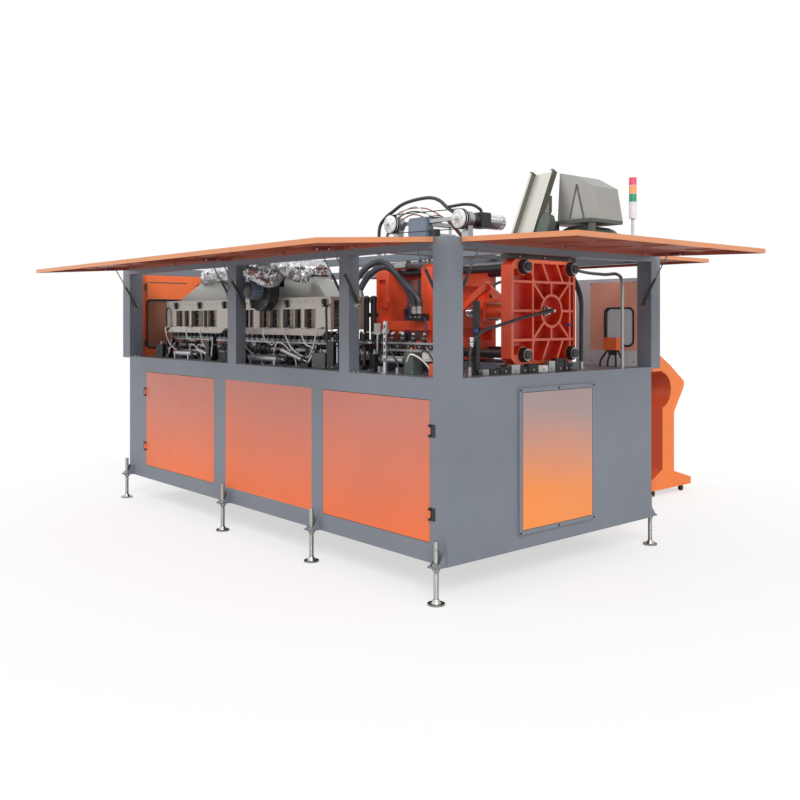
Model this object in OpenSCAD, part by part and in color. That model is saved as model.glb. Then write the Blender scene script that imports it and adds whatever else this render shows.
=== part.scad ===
// Linear stretch blow moulding machine for preforms.
// Millimetres, Z up. X runs along the oven line, the clamp unit stands at +X, the front is at -Y.
// The origin is on the floor under the middle of the base cabinet.

/* [Base cabinet] */
// Length of the base cabinet along X
base_length = 4000; // [3960:10:4200]
// Depth of the base cabinet along Y
base_depth = 1920; // [1900:10:2000]
// Height of the cabinet's underside above the floor
base_clear = 200; // [160:5:240]
// Height of the machine table's top face above the floor
table_top = 1220; // [1210:5:1240]
// Thickness of the machine table plate
table_thick = 12; // [8:1:16]
// Depth of the welded front and back frames
frame_depth = 60; // [50:5:80]
// Height of the sill above the doors
sill_height = 108; // [90:2:120]
// Height of the plinth below the doors
plinth_height = 110; // [90:2:130]
// Width of the frame left of the first door
stile_left = 319; // [300:1:330]
// Width of the first door opening
door_1_width = 1154; // [1100:2:1160]
// Width of the post between the first and second openings
stile_1 = 170; // [150:2:180]
// Width of the second door opening
door_2_width = 1092; // [1060:2:1100]
// Width of the post between the second and third openings
stile_2 = 121; // [110:1:130]
// Width of the frame right of the third door
stile_right = 137; // [130:1:150]
// Depth of the folded door trays
door_depth = 20; // [16:1:26]
// Running gap round a door
door_gap = 3; // [2:0.5:4]
// Thickness of folded sheet
sheet = 2; // [1.5:0.5:3]

/* [Levelling feet] */
// Radius of the threaded foot rods
foot_rod_r = 13; // [10:1:14]
// Radius of the foot pads
foot_pad_r = 48; // [40:1:52]
// Distance of the foot rods from the cabinet's face
foot_offset = 45; // [42:1:50]
// Distance of the end feet from the cabinet's ends
foot_inset = 40; // [38:1:60]

/* [Upper frame] */
// Height of the frame's top above the floor
frame_top = 2000; // [1990:5:2040]
// Height of the top rails
rail_height = 65; // [60:1:70]
// Depth of the top rails
rail_depth = 60; // [50:2:70]
// Overhang of the upper frame beyond the base's left end
overhang_left = 140; // [120:2:150]
// Overhang of the upper frame behind the base
overhang_back = 105; // [100:1:110]
// Depth of the corner posts along Y
post_depth = 120; // [100:2:120]
// Width of the first upper bay
bay_1 = 1672; // [1660:1:1680]
// Width of the post after the first bay
post_1 = 120; // [110:2:124]
// Width of the second upper bay
bay_2 = 1238; // [1220:2:1240]
// Width of the post after the second bay
post_2 = 100; // [90:2:104]
// Width of the right-hand corner posts
post_right = 113; // [110:1:120]

/* [Canopy flaps] */
// Reach of a flap from its hinge axis
flap_reach = 784; // [760:2:800]
// Depth of the folded flap tray
flap_depth = 28; // [26:1:28]
// Distance of the hinge axis in front of the frame's face
hinge_out = 16; // [16:0.5:18]
// Distance of the hinge axis below the frame's top
hinge_drop = 15; // [15:1:20]
// Droop of the open front flaps in degrees
droop_front = 3.6; // [2:0.1:5]
// Droop of the open right-hand flap in degrees
droop_right = 1.5; // [0:0.1:3]
// Radius of the hinge pins
hinge_pin_r = 4; // [3.5:0.1:4.5]
// Radial running clearance of pins and rods
run = 0.06; // [0.03:0.01:0.09]
// Distance of a strut's upper end from the flap hinge
strut_reach = 120; // [110:1:125]
// Drop of a strut's lower stud below the flap hinge
strut_drop = 335; // [325:1:345]
// Distance of a strut's lower stud behind the frame's face
strut_in = 60; // [56:1:64]
// Radius of the strut cylinders
strut_r = 9; // [8:0.5:10]
// Radius of the strut rods
strut_rod_r = 4; // [3.5:0.1:4.5]

/* [Ovens] */
// Distance of the ovens' front face from the cabinet's front
oven_setback = 190; // [180:2:200]
// Depth of an oven
oven_depth = 280; // [270:2:290]
// Height of the ovens' underside above the floor
oven_low = 1474; // [1474:1:1480]
// Height of the ovens' top above the floor
oven_high = 1696; // [1690:1:1700]
// Length of the first oven
oven_1_length = 1040; // [1000:5:1050]
// Length of the second oven
oven_2_length = 1180; // [1150:5:1190]
// Thickness of the oven walls
oven_wall = 24; // [20:1:28]
// Radius of the exhaust duct
duct_r = 58; // [54:1:60]
// Radius of the blower's scroll housing
blower_r = 148; // [140:1:150]

/* [Preform chain] */
// Distance of the front chain run from the cabinet's front
chain_setback = 280; // [276:1:284]
// Pitch radius of the chain wheels
wheel_r = 150; // [145:1:155]
// Height of the chain's top face above the floor
chain_high = 1404; // [1400:1:1406]
// Height of the mandrel tips above the floor
mandrel_high = 1462; // [1458:1:1464]
// Pitch of the mandrels on the chain
mandrel_pitch = 70; // [66:1:80]
// Pitch of the mandrels in the transfer station
transfer_pitch = 100; // [96:1:104]

/* [Clamp unit] */
// Distance of the end platen's outer face from the cabinet's right end
clamp_setback = 200; // [190:2:210]
// Width of the platens along Y
platen_width = 620; // [600:5:630]
// Height of the platens
platen_height = 654; // [640:2:660]
// Thickness of the end platen with its ribs
end_platen = 86; // [80:1:95]
// Thickness of the moving platen
moving_platen = 110; // [100:2:112]
// Thickness of the fixed platen
fixed_platen = 140; // [130:2:145]
// Thickness of one mould half
mould_half = 120; // [110:2:124]
// Opening between the mould halves at rest
mould_gap = 100; // [90:2:104]
// Length of one toggle link between its pivots
link_length = 290; // [286:1:300]
// Radius of the tie bars
tie_bar_r = 28; // [24:1:30]
// Width of the platen's cast ribs
rib = 16; // [12:1:18]

/* [Console] */
// Width of the operator console
console_width = 520; // [480:10:560]

/* [Hidden] */
$fn = 48;

// Colours
frame_grey = [0.44, 0.47, 0.51];
door_orange = [0.91, 0.45, 0.22];
flap_orange = [0.90, 0.56, 0.36];
cast_red = [0.88, 0.28, 0.16];
stainless = [0.70, 0.69, 0.67];
bare_steel = [0.62, 0.63, 0.65];
black_part = [0.09, 0.09, 0.10];
smoked = [0.30, 0.32, 0.34, 0.5];

// Cabinet corners and heights
left = -base_length / 2;
right = base_length / 2;
front = -base_depth / 2;
back = base_depth / 2;
base_top = table_top - table_thick;
door_low = base_clear + plinth_height;
door_high = base_top - sill_height;
door_height = door_high - door_low;
door_3_width = base_length - stile_left - door_1_width - stile_1 - door_2_width - stile_2
    - stile_right;
door_1_x = left + stile_left;
door_2_x = door_1_x + door_1_width + stile_1;
door_3_x = door_2_x + door_2_width + stile_2;
door_x = [door_1_x, door_2_x, door_3_x];
door_widths = [door_1_width, door_2_width, door_3_width];
beam = 40;
skin = 4;
gusset_high = 80;

// Door hinges
leaf = 30;
leaf_thick = 4;
knuckle_r = 7.5;
hinge_proud = 8;
knuckle_length = 70;
knuckle_mid = 40;
knuckle_gap = 1;
hinge_low = door_low + 160;
hinge_high = door_high - 170;

// Service door in the right-hand end
service_y = front + 597;
service_width = 662;
service_high = base_top - 90;
service_gap = 5;
service_proud = 12;
service_border = 25;
pivot_in = 12;
pivot_r = 5;
pivot_block = 16;
service_pivot_x = right + service_proud - door_depth / 2;
service_pivot_y = service_y + service_gap + pivot_in;

// Feet
foot_x = [left + foot_inset, left + 1680, left + 2797, right - foot_inset];
bracket_thick = 8;
keel_apart = 70;
nut_high = 16;

// Upper frame
frame_left = left - overhang_left;
frame_back = back + overhang_back;
bay_1_x = left;
post_1_x = bay_1_x + bay_1;
bay_2_x = post_1_x + post_1;
post_2_x = bay_2_x + bay_2;
bay_3_x = post_2_x + post_2;
corner_x = right - post_right;
post_back_x = (left + corner_x - post_1) / 2;
mid_post_depth = 80;
post_height = frame_top - table_top;
rail_low = frame_top - rail_height;
cross_height = 30;
cross_low = frame_top - cross_height;
long_beam_high = 50;
long_beam_low = frame_top - long_beam_high;
roof_beam = 60;
end_beam_width = 90;
end_beam_x = right - clamp_setback - end_beam_width / 2 - 15;
long_beam_y = [front + 730, front + 1350];

// Flap sets: length, droop, strut places along the flap with the side of their bracket
hinge_z = frame_top - hinge_drop;
flap_gap = 6;
flap_lap = 20;
stud_stand = 14;
eye_thick = 12;
front_x_1 = left - flap_lap;
front_x_2 = post_1_x + post_1 / 2 + flap_gap / 2;
front_x_3 = post_2_x + post_2 / 2 + flap_gap / 2;
front_end_1 = front_x_2 - flap_gap;
front_end_2 = front_x_3 - flap_gap;
front_end_3 = corner_x + flap_lap - 7;
right_y = front + post_depth - flap_lap;
right_end = back + flap_lap;
back_x_1 = corner_x + flap_lap - 7;
back_end_1 = post_back_x + post_1 / 2 + flap_gap / 2;
back_x_2 = back_end_1 - flap_gap;
back_end_2 = left - flap_lap;
front_set_1 = [front_end_1 - front_x_1, droop_front,
    [[bay_1_x + stud_stand - front_x_1, 1], [post_1_x - stud_stand - front_x_1, -1]]];
front_set_2 = [front_end_2 - front_x_2, droop_front,
    [[bay_2_x + stud_stand - front_x_2, 1], [post_2_x - stud_stand - front_x_2, -1]]];
front_set_3 = [front_end_3 - front_x_3, droop_front,
    [[bay_3_x + stud_stand - front_x_3, 1], [corner_x - stud_stand - front_x_3, -1]]];
right_set = [right_end - right_y, droop_right,
    [[front + post_depth + stud_stand - right_y, 1], [back - stud_stand - right_y, -1]]];
back_set_1 = [back_x_1 - back_end_1, 0,
    [[back_x_1 - corner_x + stud_stand, 1], [back_x_1 - post_back_x - post_1 - stud_stand, -1]]];
back_set_2 = [back_x_2 - back_end_2, 0,
    [[back_x_2 - post_back_x + stud_stand, 1], [back_x_2 - left - stud_stand, -1]]];
flap_heel = 5;
ear_inset = 110;
ear_thick = 8;
ear_r = 8;
barrel_r = 7;
barrel_length = 25;
ear_gap = 1;
bracket_gap = 0.4;
bracket_plate = 4;
stud_r = 4;
rod_end_r = 6;
stud_low = 6;

// A strut's closed length, and its open length and lean for a droop
strut_closed = norm([hinge_out + strut_in - stud_low, strut_drop - strut_reach]);
strut_tube = strut_closed - 28;
strut_rod = strut_closed - 16;
function strut_out(droop) = strut_reach * cos(droop) - stud_low * sin(droop) + hinge_out + strut_in;
function strut_up(droop) = strut_drop - strut_reach * sin(droop) - stud_low * cos(droop);
function strut_open(droop) = norm([strut_out(droop), strut_up(droop)]);
function strut_lean(droop) = atan2(strut_out(droop), strut_up(droop));

// Guards
guard_thick = 20;
guard_x = bay_3_x + 230;
guard_high = 1830;
guard_orange_x = guard_x + 130;
guard_orange_low = table_top + 105;
guard_orange_high = 480;
window_corner = 40;
pane = 5;
end_wall_x = left - overhang_left / 2;
end_wall_thick = 16;
leaf_first = front + 170;
leaf_width = 463;
leaf_pitch = 514;
leaf_low = table_top + 24;
leaf_high = rail_low - 18;
end_window_low = table_top + 70;
end_window_high = 1715;

// Ovens
oven_y = front + oven_setback;
oven_1_x = left + 320;
oven_2_x = post_1_x - 162;
oven_x = [oven_1_x, oven_2_x];
oven_lengths = [oven_1_length, oven_2_length];
window_low = oven_low + 10;
window_high = oven_low + 140;
window_edges = [[[179, 295], [322, 400], [443, 637], [653, 712], [724, 846]],
    [[64, 150], [164, 206], [303, 425], [438, 569], [608, 746], [758, 832], [874, 998]]];
oven_seam = 0.2;
lamp_r = 6;
lamp_pitch = 30;
lamp_count = 6;
lamp_y = oven_y + oven_depth - oven_wall - 40;
lamp_end = 30;
hood_inset = [[200, 60], [40, 90]];
hood_top_x = [[380, 350], [500, 300]];
hood_wall = 3;
duct_y = oven_y + 190;
duct_z = cross_low - duct_r - 4;
hood_top = duct_z - duct_r;
blower_x = 65 - 140;
blower_y = front + 112;
blower_z = 1752;
blower_width = 78;
impeller_r = 118;
shaft_r = 8;

// Preform chain
chain_y = front + chain_setback;
wheel_y = chain_y + wheel_r;
wheel_left_x = left + 310;
wheel_right_x = left + 2910;
chain_thick = 20;
chain_width = 16;
wheel_clear = 0.5;
wheel_shaft_r = 18;
wheel_shaft_low = table_top + 66;
rail_bar = 12;
transfer_x = wheel_right_x + wheel_r + 110;
transfer_end = corner_x - 60;
mandrel_r = 12;
tip_r = 8;
tip_high = 12;

// Clamp unit
clamp_x = right - clamp_setback;
clamp_y = front + 1071;
clamp_z = 1598;
platen_y = front + 735;
platen_low = 1264;
platen_high = platen_low + platen_height;
bar_y = [clamp_y - 229, clamp_y + 229];
bar_z = [clamp_z - 272, clamp_z + 272];
end_back_x = clamp_x - end_platen;
pivot_a_x = end_back_x - 74;
link_reach = link_length * 2 - mould_gap;
pivot_b_x = pivot_a_x - link_reach;
moving_x = pivot_b_x - 70 - moving_platen;
mould_moving_x = moving_x - mould_half;
mould_fixed_x = mould_moving_x - mould_gap - mould_half;
fixed_x = mould_fixed_x - fixed_platen;
knuckle_rise = sqrt(pow(link_length, 2) - pow(link_reach / 2, 2));
link_tilt = atan2(knuckle_rise, link_reach / 2);
toggle_y = [clamp_y - 140, clamp_y + 140];
link_thick = 20;
link_gap = 0.6;
lug_thick = 15;
lug_gap = 0.5;
link_r = 34;
toggle_pin_r = 20;
ring_y = front + 1116;
ring_r = 108;
ring_box = 362;
rib_base = 30;
rib_border = 22;
rib_step = 2;
chamfer = 40;
rod_r = 16;
mould_width = 340;
mould_height = 460;
cavity_r = 36;
cavity_pitch = 100;
bed_gap = 0.4;
neck_r = 14;
split_x = mould_fixed_x + mould_half;
mould_top = clamp_z + mould_height / 2;
nozzle_plate_z = bar_z[1] + tie_bar_r + 6;
nozzle_gap = 6;
nozzle_length = nozzle_plate_z - mould_top - nozzle_gap;
nozzle_plate = 26;
stretch_rod_r = 6;
column_r = 12;
carriage_z = 2130;
carriage_high = 32;
bridge_z = 2215;
guide_y = 150;

// Console, standing behind the machine on its own castors
console_at = [1050, 2900];
caster_r = 25;

// Shared helpers

// Slab with rounded corners standing in the XZ plane, thick along Y
module window_slab(x, z, w, h, y, thick, r) {
    translate([x, y + thick, z])
        rotate([90, 0, 0])
        linear_extrude(thick)
        union() {
            translate([r, 0]) square([w - 2 * r, h]);
            translate([0, r]) square([w, h - 2 * r]);
            for (cx = [r, w - r], cz = [r, h - r]) translate([cx, cz]) circle(r);
        }
}

// The same slab standing in the YZ plane, thick along X
module window_slab_x(y, z, w, h, x, thick, r) {
    translate([x + thick, y, z])
        rotate([0, 0, 90])
        window_slab(0, 0, w, h, 0, thick, r);
}

// Folded tray with its open side towards +Y, its front at y = 0
module tray(w, h, depth) {
    difference() {
        cube([w, depth, h]);
        translate([sheet, sheet, sheet]) cube([w - 2 * sheet, depth, h - 2 * sheet]);
    }
}

module rod_x(x, y, z, length, r) {
    translate([x, y, z]) rotate([0, 90, 0]) cylinder(r = r, h = length);
}

module rod_y(x, y, z, length, r) {
    translate([x, y + length, z]) rotate([90, 0, 0]) cylinder(r = r, h = length);
}

// Hose swept along points: a Catmull-Rom curve with a ring carried from point to point
function unit(v) = v / norm(v);
function bend(p, i, t) =
    let (a = p[max(i - 1, 0)], b = p[i], c = p[i + 1], d = p[min(i + 2, len(p) - 1)])
    0.5 * (2 * b + (c - a) * t + (2 * a - 5 * b + 4 * c - d) * t * t
        + (3 * b - a - 3 * c + d) * t * t * t);
function curve(p, n) = concat([for (i = [0:len(p) - 2], k = [0:n - 1]) bend(p, i, k / n)],
    [p[len(p) - 1]]);
function headings(points, path) =
    let (m = len(points) - 1, last = len(path) - 1)
    [for (i = [0:last]) i == 0 ? unit(points[1] - points[0])
        : i == last ? unit(points[m] - points[m - 1]) : unit(path[i + 1] - path[i - 1])];
function square_to(n, t) = unit(n - (n * t) * t);
function carried(ways, i, n) = i == len(ways) ? []
    : let (m = square_to(n, ways[i])) concat([m], carried(ways, i + 1, m));

module hose(points, d, steps = 4, sides = 10) {
    path = curve(points, steps);
    ways = headings(points, path);
    side = carried(ways, 0, abs(ways[0][1]) < 0.9 ? [0, 1, 0] : [1, 0, 0]);
    rings = [for (i = [0:len(path) - 1], k = [0:sides - 1])
        let (a = 360 * k / sides)
        path[i] + d / 2 * (cos(a) * side[i] + sin(a) * cross(ways[i], side[i]))];
    last = len(path) - 1;
    walls = [for (i = [0:last - 1], k = [0:sides - 1])
        let (j = (k + 1) % sides)
        [i * sides + k, (i + 1) * sides + k, (i + 1) * sides + j, i * sides + j]];
    polyhedron(rings, concat(walls, [[for (k = [0:sides - 1]) k]],
        [[for (k = [sides - 1:-1:0]) last * sides + k]]), convexity = 10);
}

// Base cabinet

module door_holes() {
    for (i = [0:2])
        translate([door_x[i], front - 1, door_low])
            cube([door_widths[i], frame_depth + 2, door_height]);
}

// Front skin with its beams and the folded returns round the door openings
module cabinet_front() {
    height = base_top - base_clear;
    difference() {
        union() {
            translate([left, front, base_clear]) cube([base_length, skin, height]);
            for (i = [0:2])
                translate([door_x[i] - skin, front, door_low - skin])
                    cube([door_widths[i] + 2 * skin, frame_depth, door_height + 2 * skin]);
            for (z = [base_clear, base_top - beam])
                translate([left, front, z]) cube([base_length, frame_depth, beam]);
            for (x = [left, door_2_x - stile_1 / 2 - beam / 2, door_3_x - stile_2 / 2 - beam / 2,
                right - beam])
                translate([x, front, base_clear]) cube([beam, frame_depth, height]);
        }
        door_holes();
    }
}

module foot_bracket(x, side) {
    translate([x, side * back, base_clear])
        mirror([0, side < 0 ? 1 : 0, 0]) {
            difference() {
                translate([-35, 0, 0]) cube([70, foot_offset + 35, bracket_thick]);
                translate([0, foot_offset, -1]) cylinder(r = foot_rod_r + 1, h = bracket_thick + 2);
            }
            for (gx = [-35, 29])
                translate([gx, 0, bracket_thick])
                    rotate([90, 0, 90])
                    linear_extrude(6)
                    polygon([[0, 0], [foot_offset + 20, 0], [0, gusset_high]]);
        }
}

// Two beams and a plate under the middle of the base, over its ninth foot
module middle_carrier() {
    for (side = [-1, 1])
        translate([foot_x[1], side * keel_apart - beam / 2, base_clear])
            cube([foot_x[2] - foot_x[1], beam, beam]);
    difference() {
        translate([-keel_apart, -keel_apart, base_clear])
            cube([2 * keel_apart, 2 * keel_apart, bracket_thick]);
        translate([0, 0, base_clear - 1]) cylinder(r = foot_rod_r + 1, h = bracket_thick + 2);
    }
}

module base_frame() color(frame_grey) {
    height = base_top - base_clear;
    middle_carrier();
    cabinet_front();
    mirror([0, 1, 0]) cabinet_front();
    translate([left, front + 1, base_clear]) cube([skin, base_depth - 2, height]);
    for (x = foot_x)
        for (z = [base_clear, base_top - beam])
            translate([min(max(x - beam / 2, left), right - beam), front + 1, z])
                cube([beam, base_depth - 2, beam]);
    difference() {
        union() {
            translate([right - skin, front + 1, base_clear]) cube([skin, base_depth - 2, height]);
            translate([right - frame_depth, service_y - skin, door_low - skin])
                cube([frame_depth, service_width + 2 * skin, service_high - door_low + 2 * skin]);
            translate([right - 1, service_y - service_border, door_low - service_border])
                cube([service_proud + 1, service_width + 2 * service_border,
                    service_high - door_low + 2 * service_border]);
        }
        translate([right - frame_depth - 1, service_y, door_low])
            cube([frame_depth + service_proud + 2, service_width, service_high - door_low]);
    }
    for (x = foot_x, side = [-1, 1]) foot_bracket(x, side);
    for (z = [door_low - 1, service_high - pivot_block - 2])
        translate([service_pivot_x, service_pivot_y, z]) cylinder(r = pivot_r, h = pivot_block + 3);
}

module table_plate() color(bare_steel)
    translate([frame_left, front, base_top])
        cube([right - frame_left, frame_back - front, table_thick]);

module levelling_foot(rod_above) {
    cylinder(r = foot_pad_r, h = 10);
    translate([0, 0, 10]) cylinder(r1 = foot_rod_r + 15, r2 = foot_rod_r + 3, h = 22);
    cylinder(r = foot_rod_r, h = base_clear + rod_above);
    for (z = [base_clear - nut_high, base_clear + bracket_thick])
        translate([0, 0, z]) cylinder(r = foot_rod_r + 9, h = nut_high, $fn = 6);
}

module levelling_feet() color(bare_steel) {
    for (x = foot_x, side = [-1, 1])
        translate([x, side * (back + foot_offset), 0]) levelling_foot(140);
    levelling_foot(beam);
}

// Door with its hinge edge at x = 0, in the opening's own frame
module hinged_door(w) {
    difference() {
        union() {
            translate([door_gap, 0, door_gap])
                tray(w - 2 * door_gap, door_height - 2 * door_gap, door_depth);
            for (z = [hinge_low, hinge_high] - [door_low, door_low]) {
                translate([1, -leaf_thick, z - knuckle_mid / 2])
                    cube([leaf + 5, leaf_thick, knuckle_mid]);
                translate([-2, -hinge_proud, z - knuckle_mid / 2])
                    cylinder(r = knuckle_r, h = knuckle_mid);
            }
        }
        for (z = [hinge_low, hinge_high] - [door_low, door_low])
            translate([-2, -hinge_proud, z - knuckle_length])
                cylinder(r = hinge_pin_r + run, h = 2 * knuckle_length);
    }
}

module front_door_left() color(door_orange)
    translate([door_1_x, front, door_low]) hinged_door(door_1_width);

module front_door_right() color(door_orange)
    translate([door_3_x + door_3_width, front, door_low]) mirror([1, 0, 0])
        hinged_door(door_3_width);

// Fixed leaf and pin of one hinge
module hinge_fixed() {
    knuckle_end = (knuckle_length - knuckle_mid) / 2 - knuckle_gap;
    leaf_x = -2 - hinge_proud - 1;
    translate([leaf_x - leaf, -leaf_thick, -knuckle_length / 2])
        cube([leaf, leaf_thick, knuckle_length]);
    for (z = [-knuckle_length / 2, knuckle_length / 2 - knuckle_end]) {
        translate([-2, -hinge_proud, z]) cylinder(r = knuckle_r, h = knuckle_end);
        translate([leaf_x - 1, -leaf_thick, z]) cube([-leaf_x, leaf_thick, knuckle_end]);
    }
    translate([-2, -hinge_proud, -knuckle_length / 2])
        cylinder(r = hinge_pin_r, h = knuckle_length);
}

module door_hinges() color(black_part)
    for (z = [hinge_low, hinge_high]) {
        translate([door_1_x, front, z]) hinge_fixed();
        translate([door_3_x + door_3_width, front, z]) mirror([1, 0, 0]) hinge_fixed();
    }

module service_door() color(door_orange) {
    w = service_width - 2 * service_gap;
    h = service_high - door_low - 2 * door_gap;
    difference() {
        union() {
            translate([right + service_proud, service_y + service_gap, door_low + door_gap])
                rotate([0, 0, 90]) tray(w, h, door_depth);
            for (z = [door_low + door_gap, service_high - door_gap - pivot_block])
                translate([right + service_proud - door_depth, service_y + service_gap, z])
                    cube([door_depth, 2 * pivot_in, pivot_block]);
        }
        translate([service_pivot_x, service_pivot_y, door_low])
            cylinder(r = pivot_r + run, h = service_high - door_low);
    }
}

module fixed_panels() color(door_orange) {
    translate([door_2_x, front, door_low]) {
        tray(door_2_width, door_height, door_depth);
    }
    lap = 16;
    for (i = [0:2])
        translate([door_x[i] - lap, back, door_low - lap]) {
            cube([door_widths[i] + 2 * lap, sheet, door_height + 2 * lap]);
            for (bx = [lap / 2, door_widths[i] + lap * 1.5], bz = [60, door_height - 30])
                rod_y(bx, sheet, bz, 6, 6);
        }
}

// Upper frame

module post(x, y, w, d) {
    translate([x, y, table_top]) cube([w, d, post_height]);
}

// Ears, pins and strut studs of one flap set, in the flap's own frame at its hinge axis
module flap_carriers(flap) {
    for (x = [ear_inset, flap[0] / 2, flap[0] - ear_inset]) {
        translate([x - ear_thick / 2, 0, -ear_r]) cube([ear_thick, hinge_out, 2 * ear_r]);
        rod_x(x - ear_thick / 2, 0, 0, ear_thick, ear_r);
        pin = ear_thick + 2 * (ear_gap + barrel_length);
        rod_x(x - pin / 2, 0, 0, pin, hinge_pin_r);
    }
    for (strut = flap[2]) {
        x0 = strut[0] - strut[1] * stud_stand;
        length = stud_stand + eye_thick / 2 + 2;
        rod_x(min(x0, x0 + strut[1] * length), hinge_out + strut_in, -strut_drop, length, stud_r);
    }
}

module at_front(x) translate([x, front - hinge_out, hinge_z]) children();
module at_right() translate([right + hinge_out, right_y, hinge_z]) rotate([0, 0, 90]) children();
module at_back(x) translate([x, frame_back + hinge_out, hinge_z]) rotate([0, 0, 180]) children();

module upper_frame() color(frame_grey) {
    post(frame_left, front, overhang_left, post_depth);
    post(post_1_x, front, post_1, mid_post_depth);
    post(post_2_x, front, post_2, mid_post_depth);
    post(corner_x, front, post_right, post_depth);
    post(corner_x, back, post_right, overhang_back);
    post(frame_left, back, overhang_left, overhang_back);
    post(post_back_x, frame_back - mid_post_depth, post_1, mid_post_depth);
    translate([frame_left, front, rail_low]) cube([right - frame_left, rail_depth, rail_height]);
    translate([frame_left, frame_back - rail_depth, rail_low])
        cube([right - frame_left, rail_depth, rail_height]);
    for (x = [frame_left, right - rail_depth])
        translate([x, front, rail_low]) cube([rail_depth, frame_back - front, rail_height]);
    for (x = [post_1_x + post_1 / 2 - roof_beam / 2, post_2_x + post_2 / 2 - roof_beam / 2])
        translate([x, front, cross_low]) cube([roof_beam, frame_back - front, cross_height]);
    translate([end_beam_x, front, long_beam_low])
        cube([end_beam_width, frame_back - front, long_beam_high]);
    for (y = long_beam_y)
        translate([post_1_x + post_1 / 2, y, long_beam_low])
            cube([right - post_1_x - post_1 / 2, roof_beam, long_beam_high]);
    at_front(front_x_1) flap_carriers(front_set_1);
    at_front(front_x_2) flap_carriers(front_set_2);
    at_front(front_x_3) flap_carriers(front_set_3);
    at_right() flap_carriers(right_set);
    at_back(back_x_1) flap_carriers(back_set_1);
    at_back(back_x_2) flap_carriers(back_set_2);
}

// Orange guard sheets: the left end wall with its door leaves, and the sheet in the rear guard
module guard_panels() color(door_orange) {
    wall_y = front + post_depth;
    difference() {
        union() {
            translate([end_wall_x, wall_y, table_top])
                cube([end_wall_thick, back - wall_y, rail_low - table_top]);
            for (i = [0:2])
                translate([end_wall_x + end_wall_thick - 1, leaf_first + i * leaf_pitch, leaf_low])
                    cube([9, leaf_width, leaf_high - leaf_low]);
        }
        for (i = [0:2])
            window_slab_x(leaf_first + i * leaf_pitch + 12, end_window_low, leaf_width - 24,
                end_window_high - end_window_low, end_wall_x - 1, end_wall_thick + 12,
                window_corner);
    }
    difference() {
        translate([guard_orange_x, back, guard_orange_low])
            cube([corner_x - guard_orange_x, guard_thick - 5, guard_orange_high]);
        window_slab(guard_orange_x + 130, table_top + 140, corner_x - guard_orange_x - 160, 262,
            back - 1, guard_thick, window_corner);
    }
}

module rear_guard() color(frame_grey)
    difference() {
        translate([guard_x, back, table_top])
            cube([corner_x - guard_x, guard_thick, guard_high - table_top]);
        translate([guard_orange_x, back - 1, guard_orange_low])
            cube([corner_x - guard_orange_x + 1, guard_thick + 2, guard_orange_high]);
    }

module guard_windows() color(smoked) {
    for (i = [0:2])
        window_slab_x(leaf_first + i * leaf_pitch + 12, end_window_low, leaf_width - 24,
            end_window_high - end_window_low, end_wall_x + 6, pane, window_corner);
    window_slab(guard_orange_x + 130, table_top + 140, corner_x - guard_orange_x - 160, 262,
        back + 6, pane, window_corner);
}

// Canopy flaps and their gas struts

module flap(set) {
    length = set[0];
    half = flap_depth / 2;
    rotate([set[1], 0, 0])
        difference() {
            union() {
                difference() {
                    translate([0, -flap_reach, -half])
                        cube([length, flap_reach + flap_heel, flap_depth]);
                    translate([sheet, sheet - flap_reach, -half - sheet])
                        cube([length - 2 * sheet, flap_reach + flap_heel - 2 * sheet, flap_depth]);
                    for (x = [ear_inset, length / 2, length - ear_inset])
                        translate([x - ear_thick / 2 - ear_gap, -1, -half - 1])
                            cube([ear_thick + 2 * ear_gap, flap_heel + 2, flap_depth + 1 - sheet]);
                }
                for (x = [ear_inset, length / 2, length - ear_inset], side = [-1, 1])
                    rod_x(x + side * (ear_thick / 2 + ear_gap + barrel_length / 2)
                        - barrel_length / 2, 0, 0, barrel_length, barrel_r);
                for (strut = set[2]) {
                    off = strut[0] + strut[1] * (eye_thick / 2 + bracket_gap);
                    translate([min(off, off + strut[1] * bracket_plate), -strut_reach - 14,
                        -stud_low - rod_end_r - 1])
                        cube([bracket_plate, 28, half + stud_low + rod_end_r]);
                }
            }
            for (x = [ear_inset, length / 2, length - ear_inset])
                rod_x(x - barrel_length - 10, 0, 0, 2 * barrel_length + 20, hinge_pin_r + run);
        }
}

// Frame of one strut: its Z axis runs from the lower stud to the rod's end
module at_strut(set, strut) {
    translate([strut[0], hinge_out + strut_in, -strut_drop])
        rotate([strut_lean(set[1]), 0, 0])
        children();
}

module strut_cylinders(set)
    for (strut = set[2])
        at_strut(set, strut)
            difference() {
                union() {
                    rod_x(-eye_thick / 2, 0, 0, eye_thick, strut_r);
                    cylinder(r = strut_r, h = strut_tube);
                }
                rod_x(-eye_thick, 0, 0, 2 * eye_thick, stud_r + run);
                translate([0, 0, strut_r + 3]) cylinder(r = strut_rod_r + run, h = strut_tube);
            }

module strut_rods(set)
    for (strut = set[2])
        at_strut(set, strut) {
            open = strut_open(set[1]);
            translate([0, 0, open - strut_rod]) cylinder(r = strut_rod_r, h = strut_rod);
            rod_x(-eye_thick / 2, 0, open, eye_thick, rod_end_r);
        }

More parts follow.
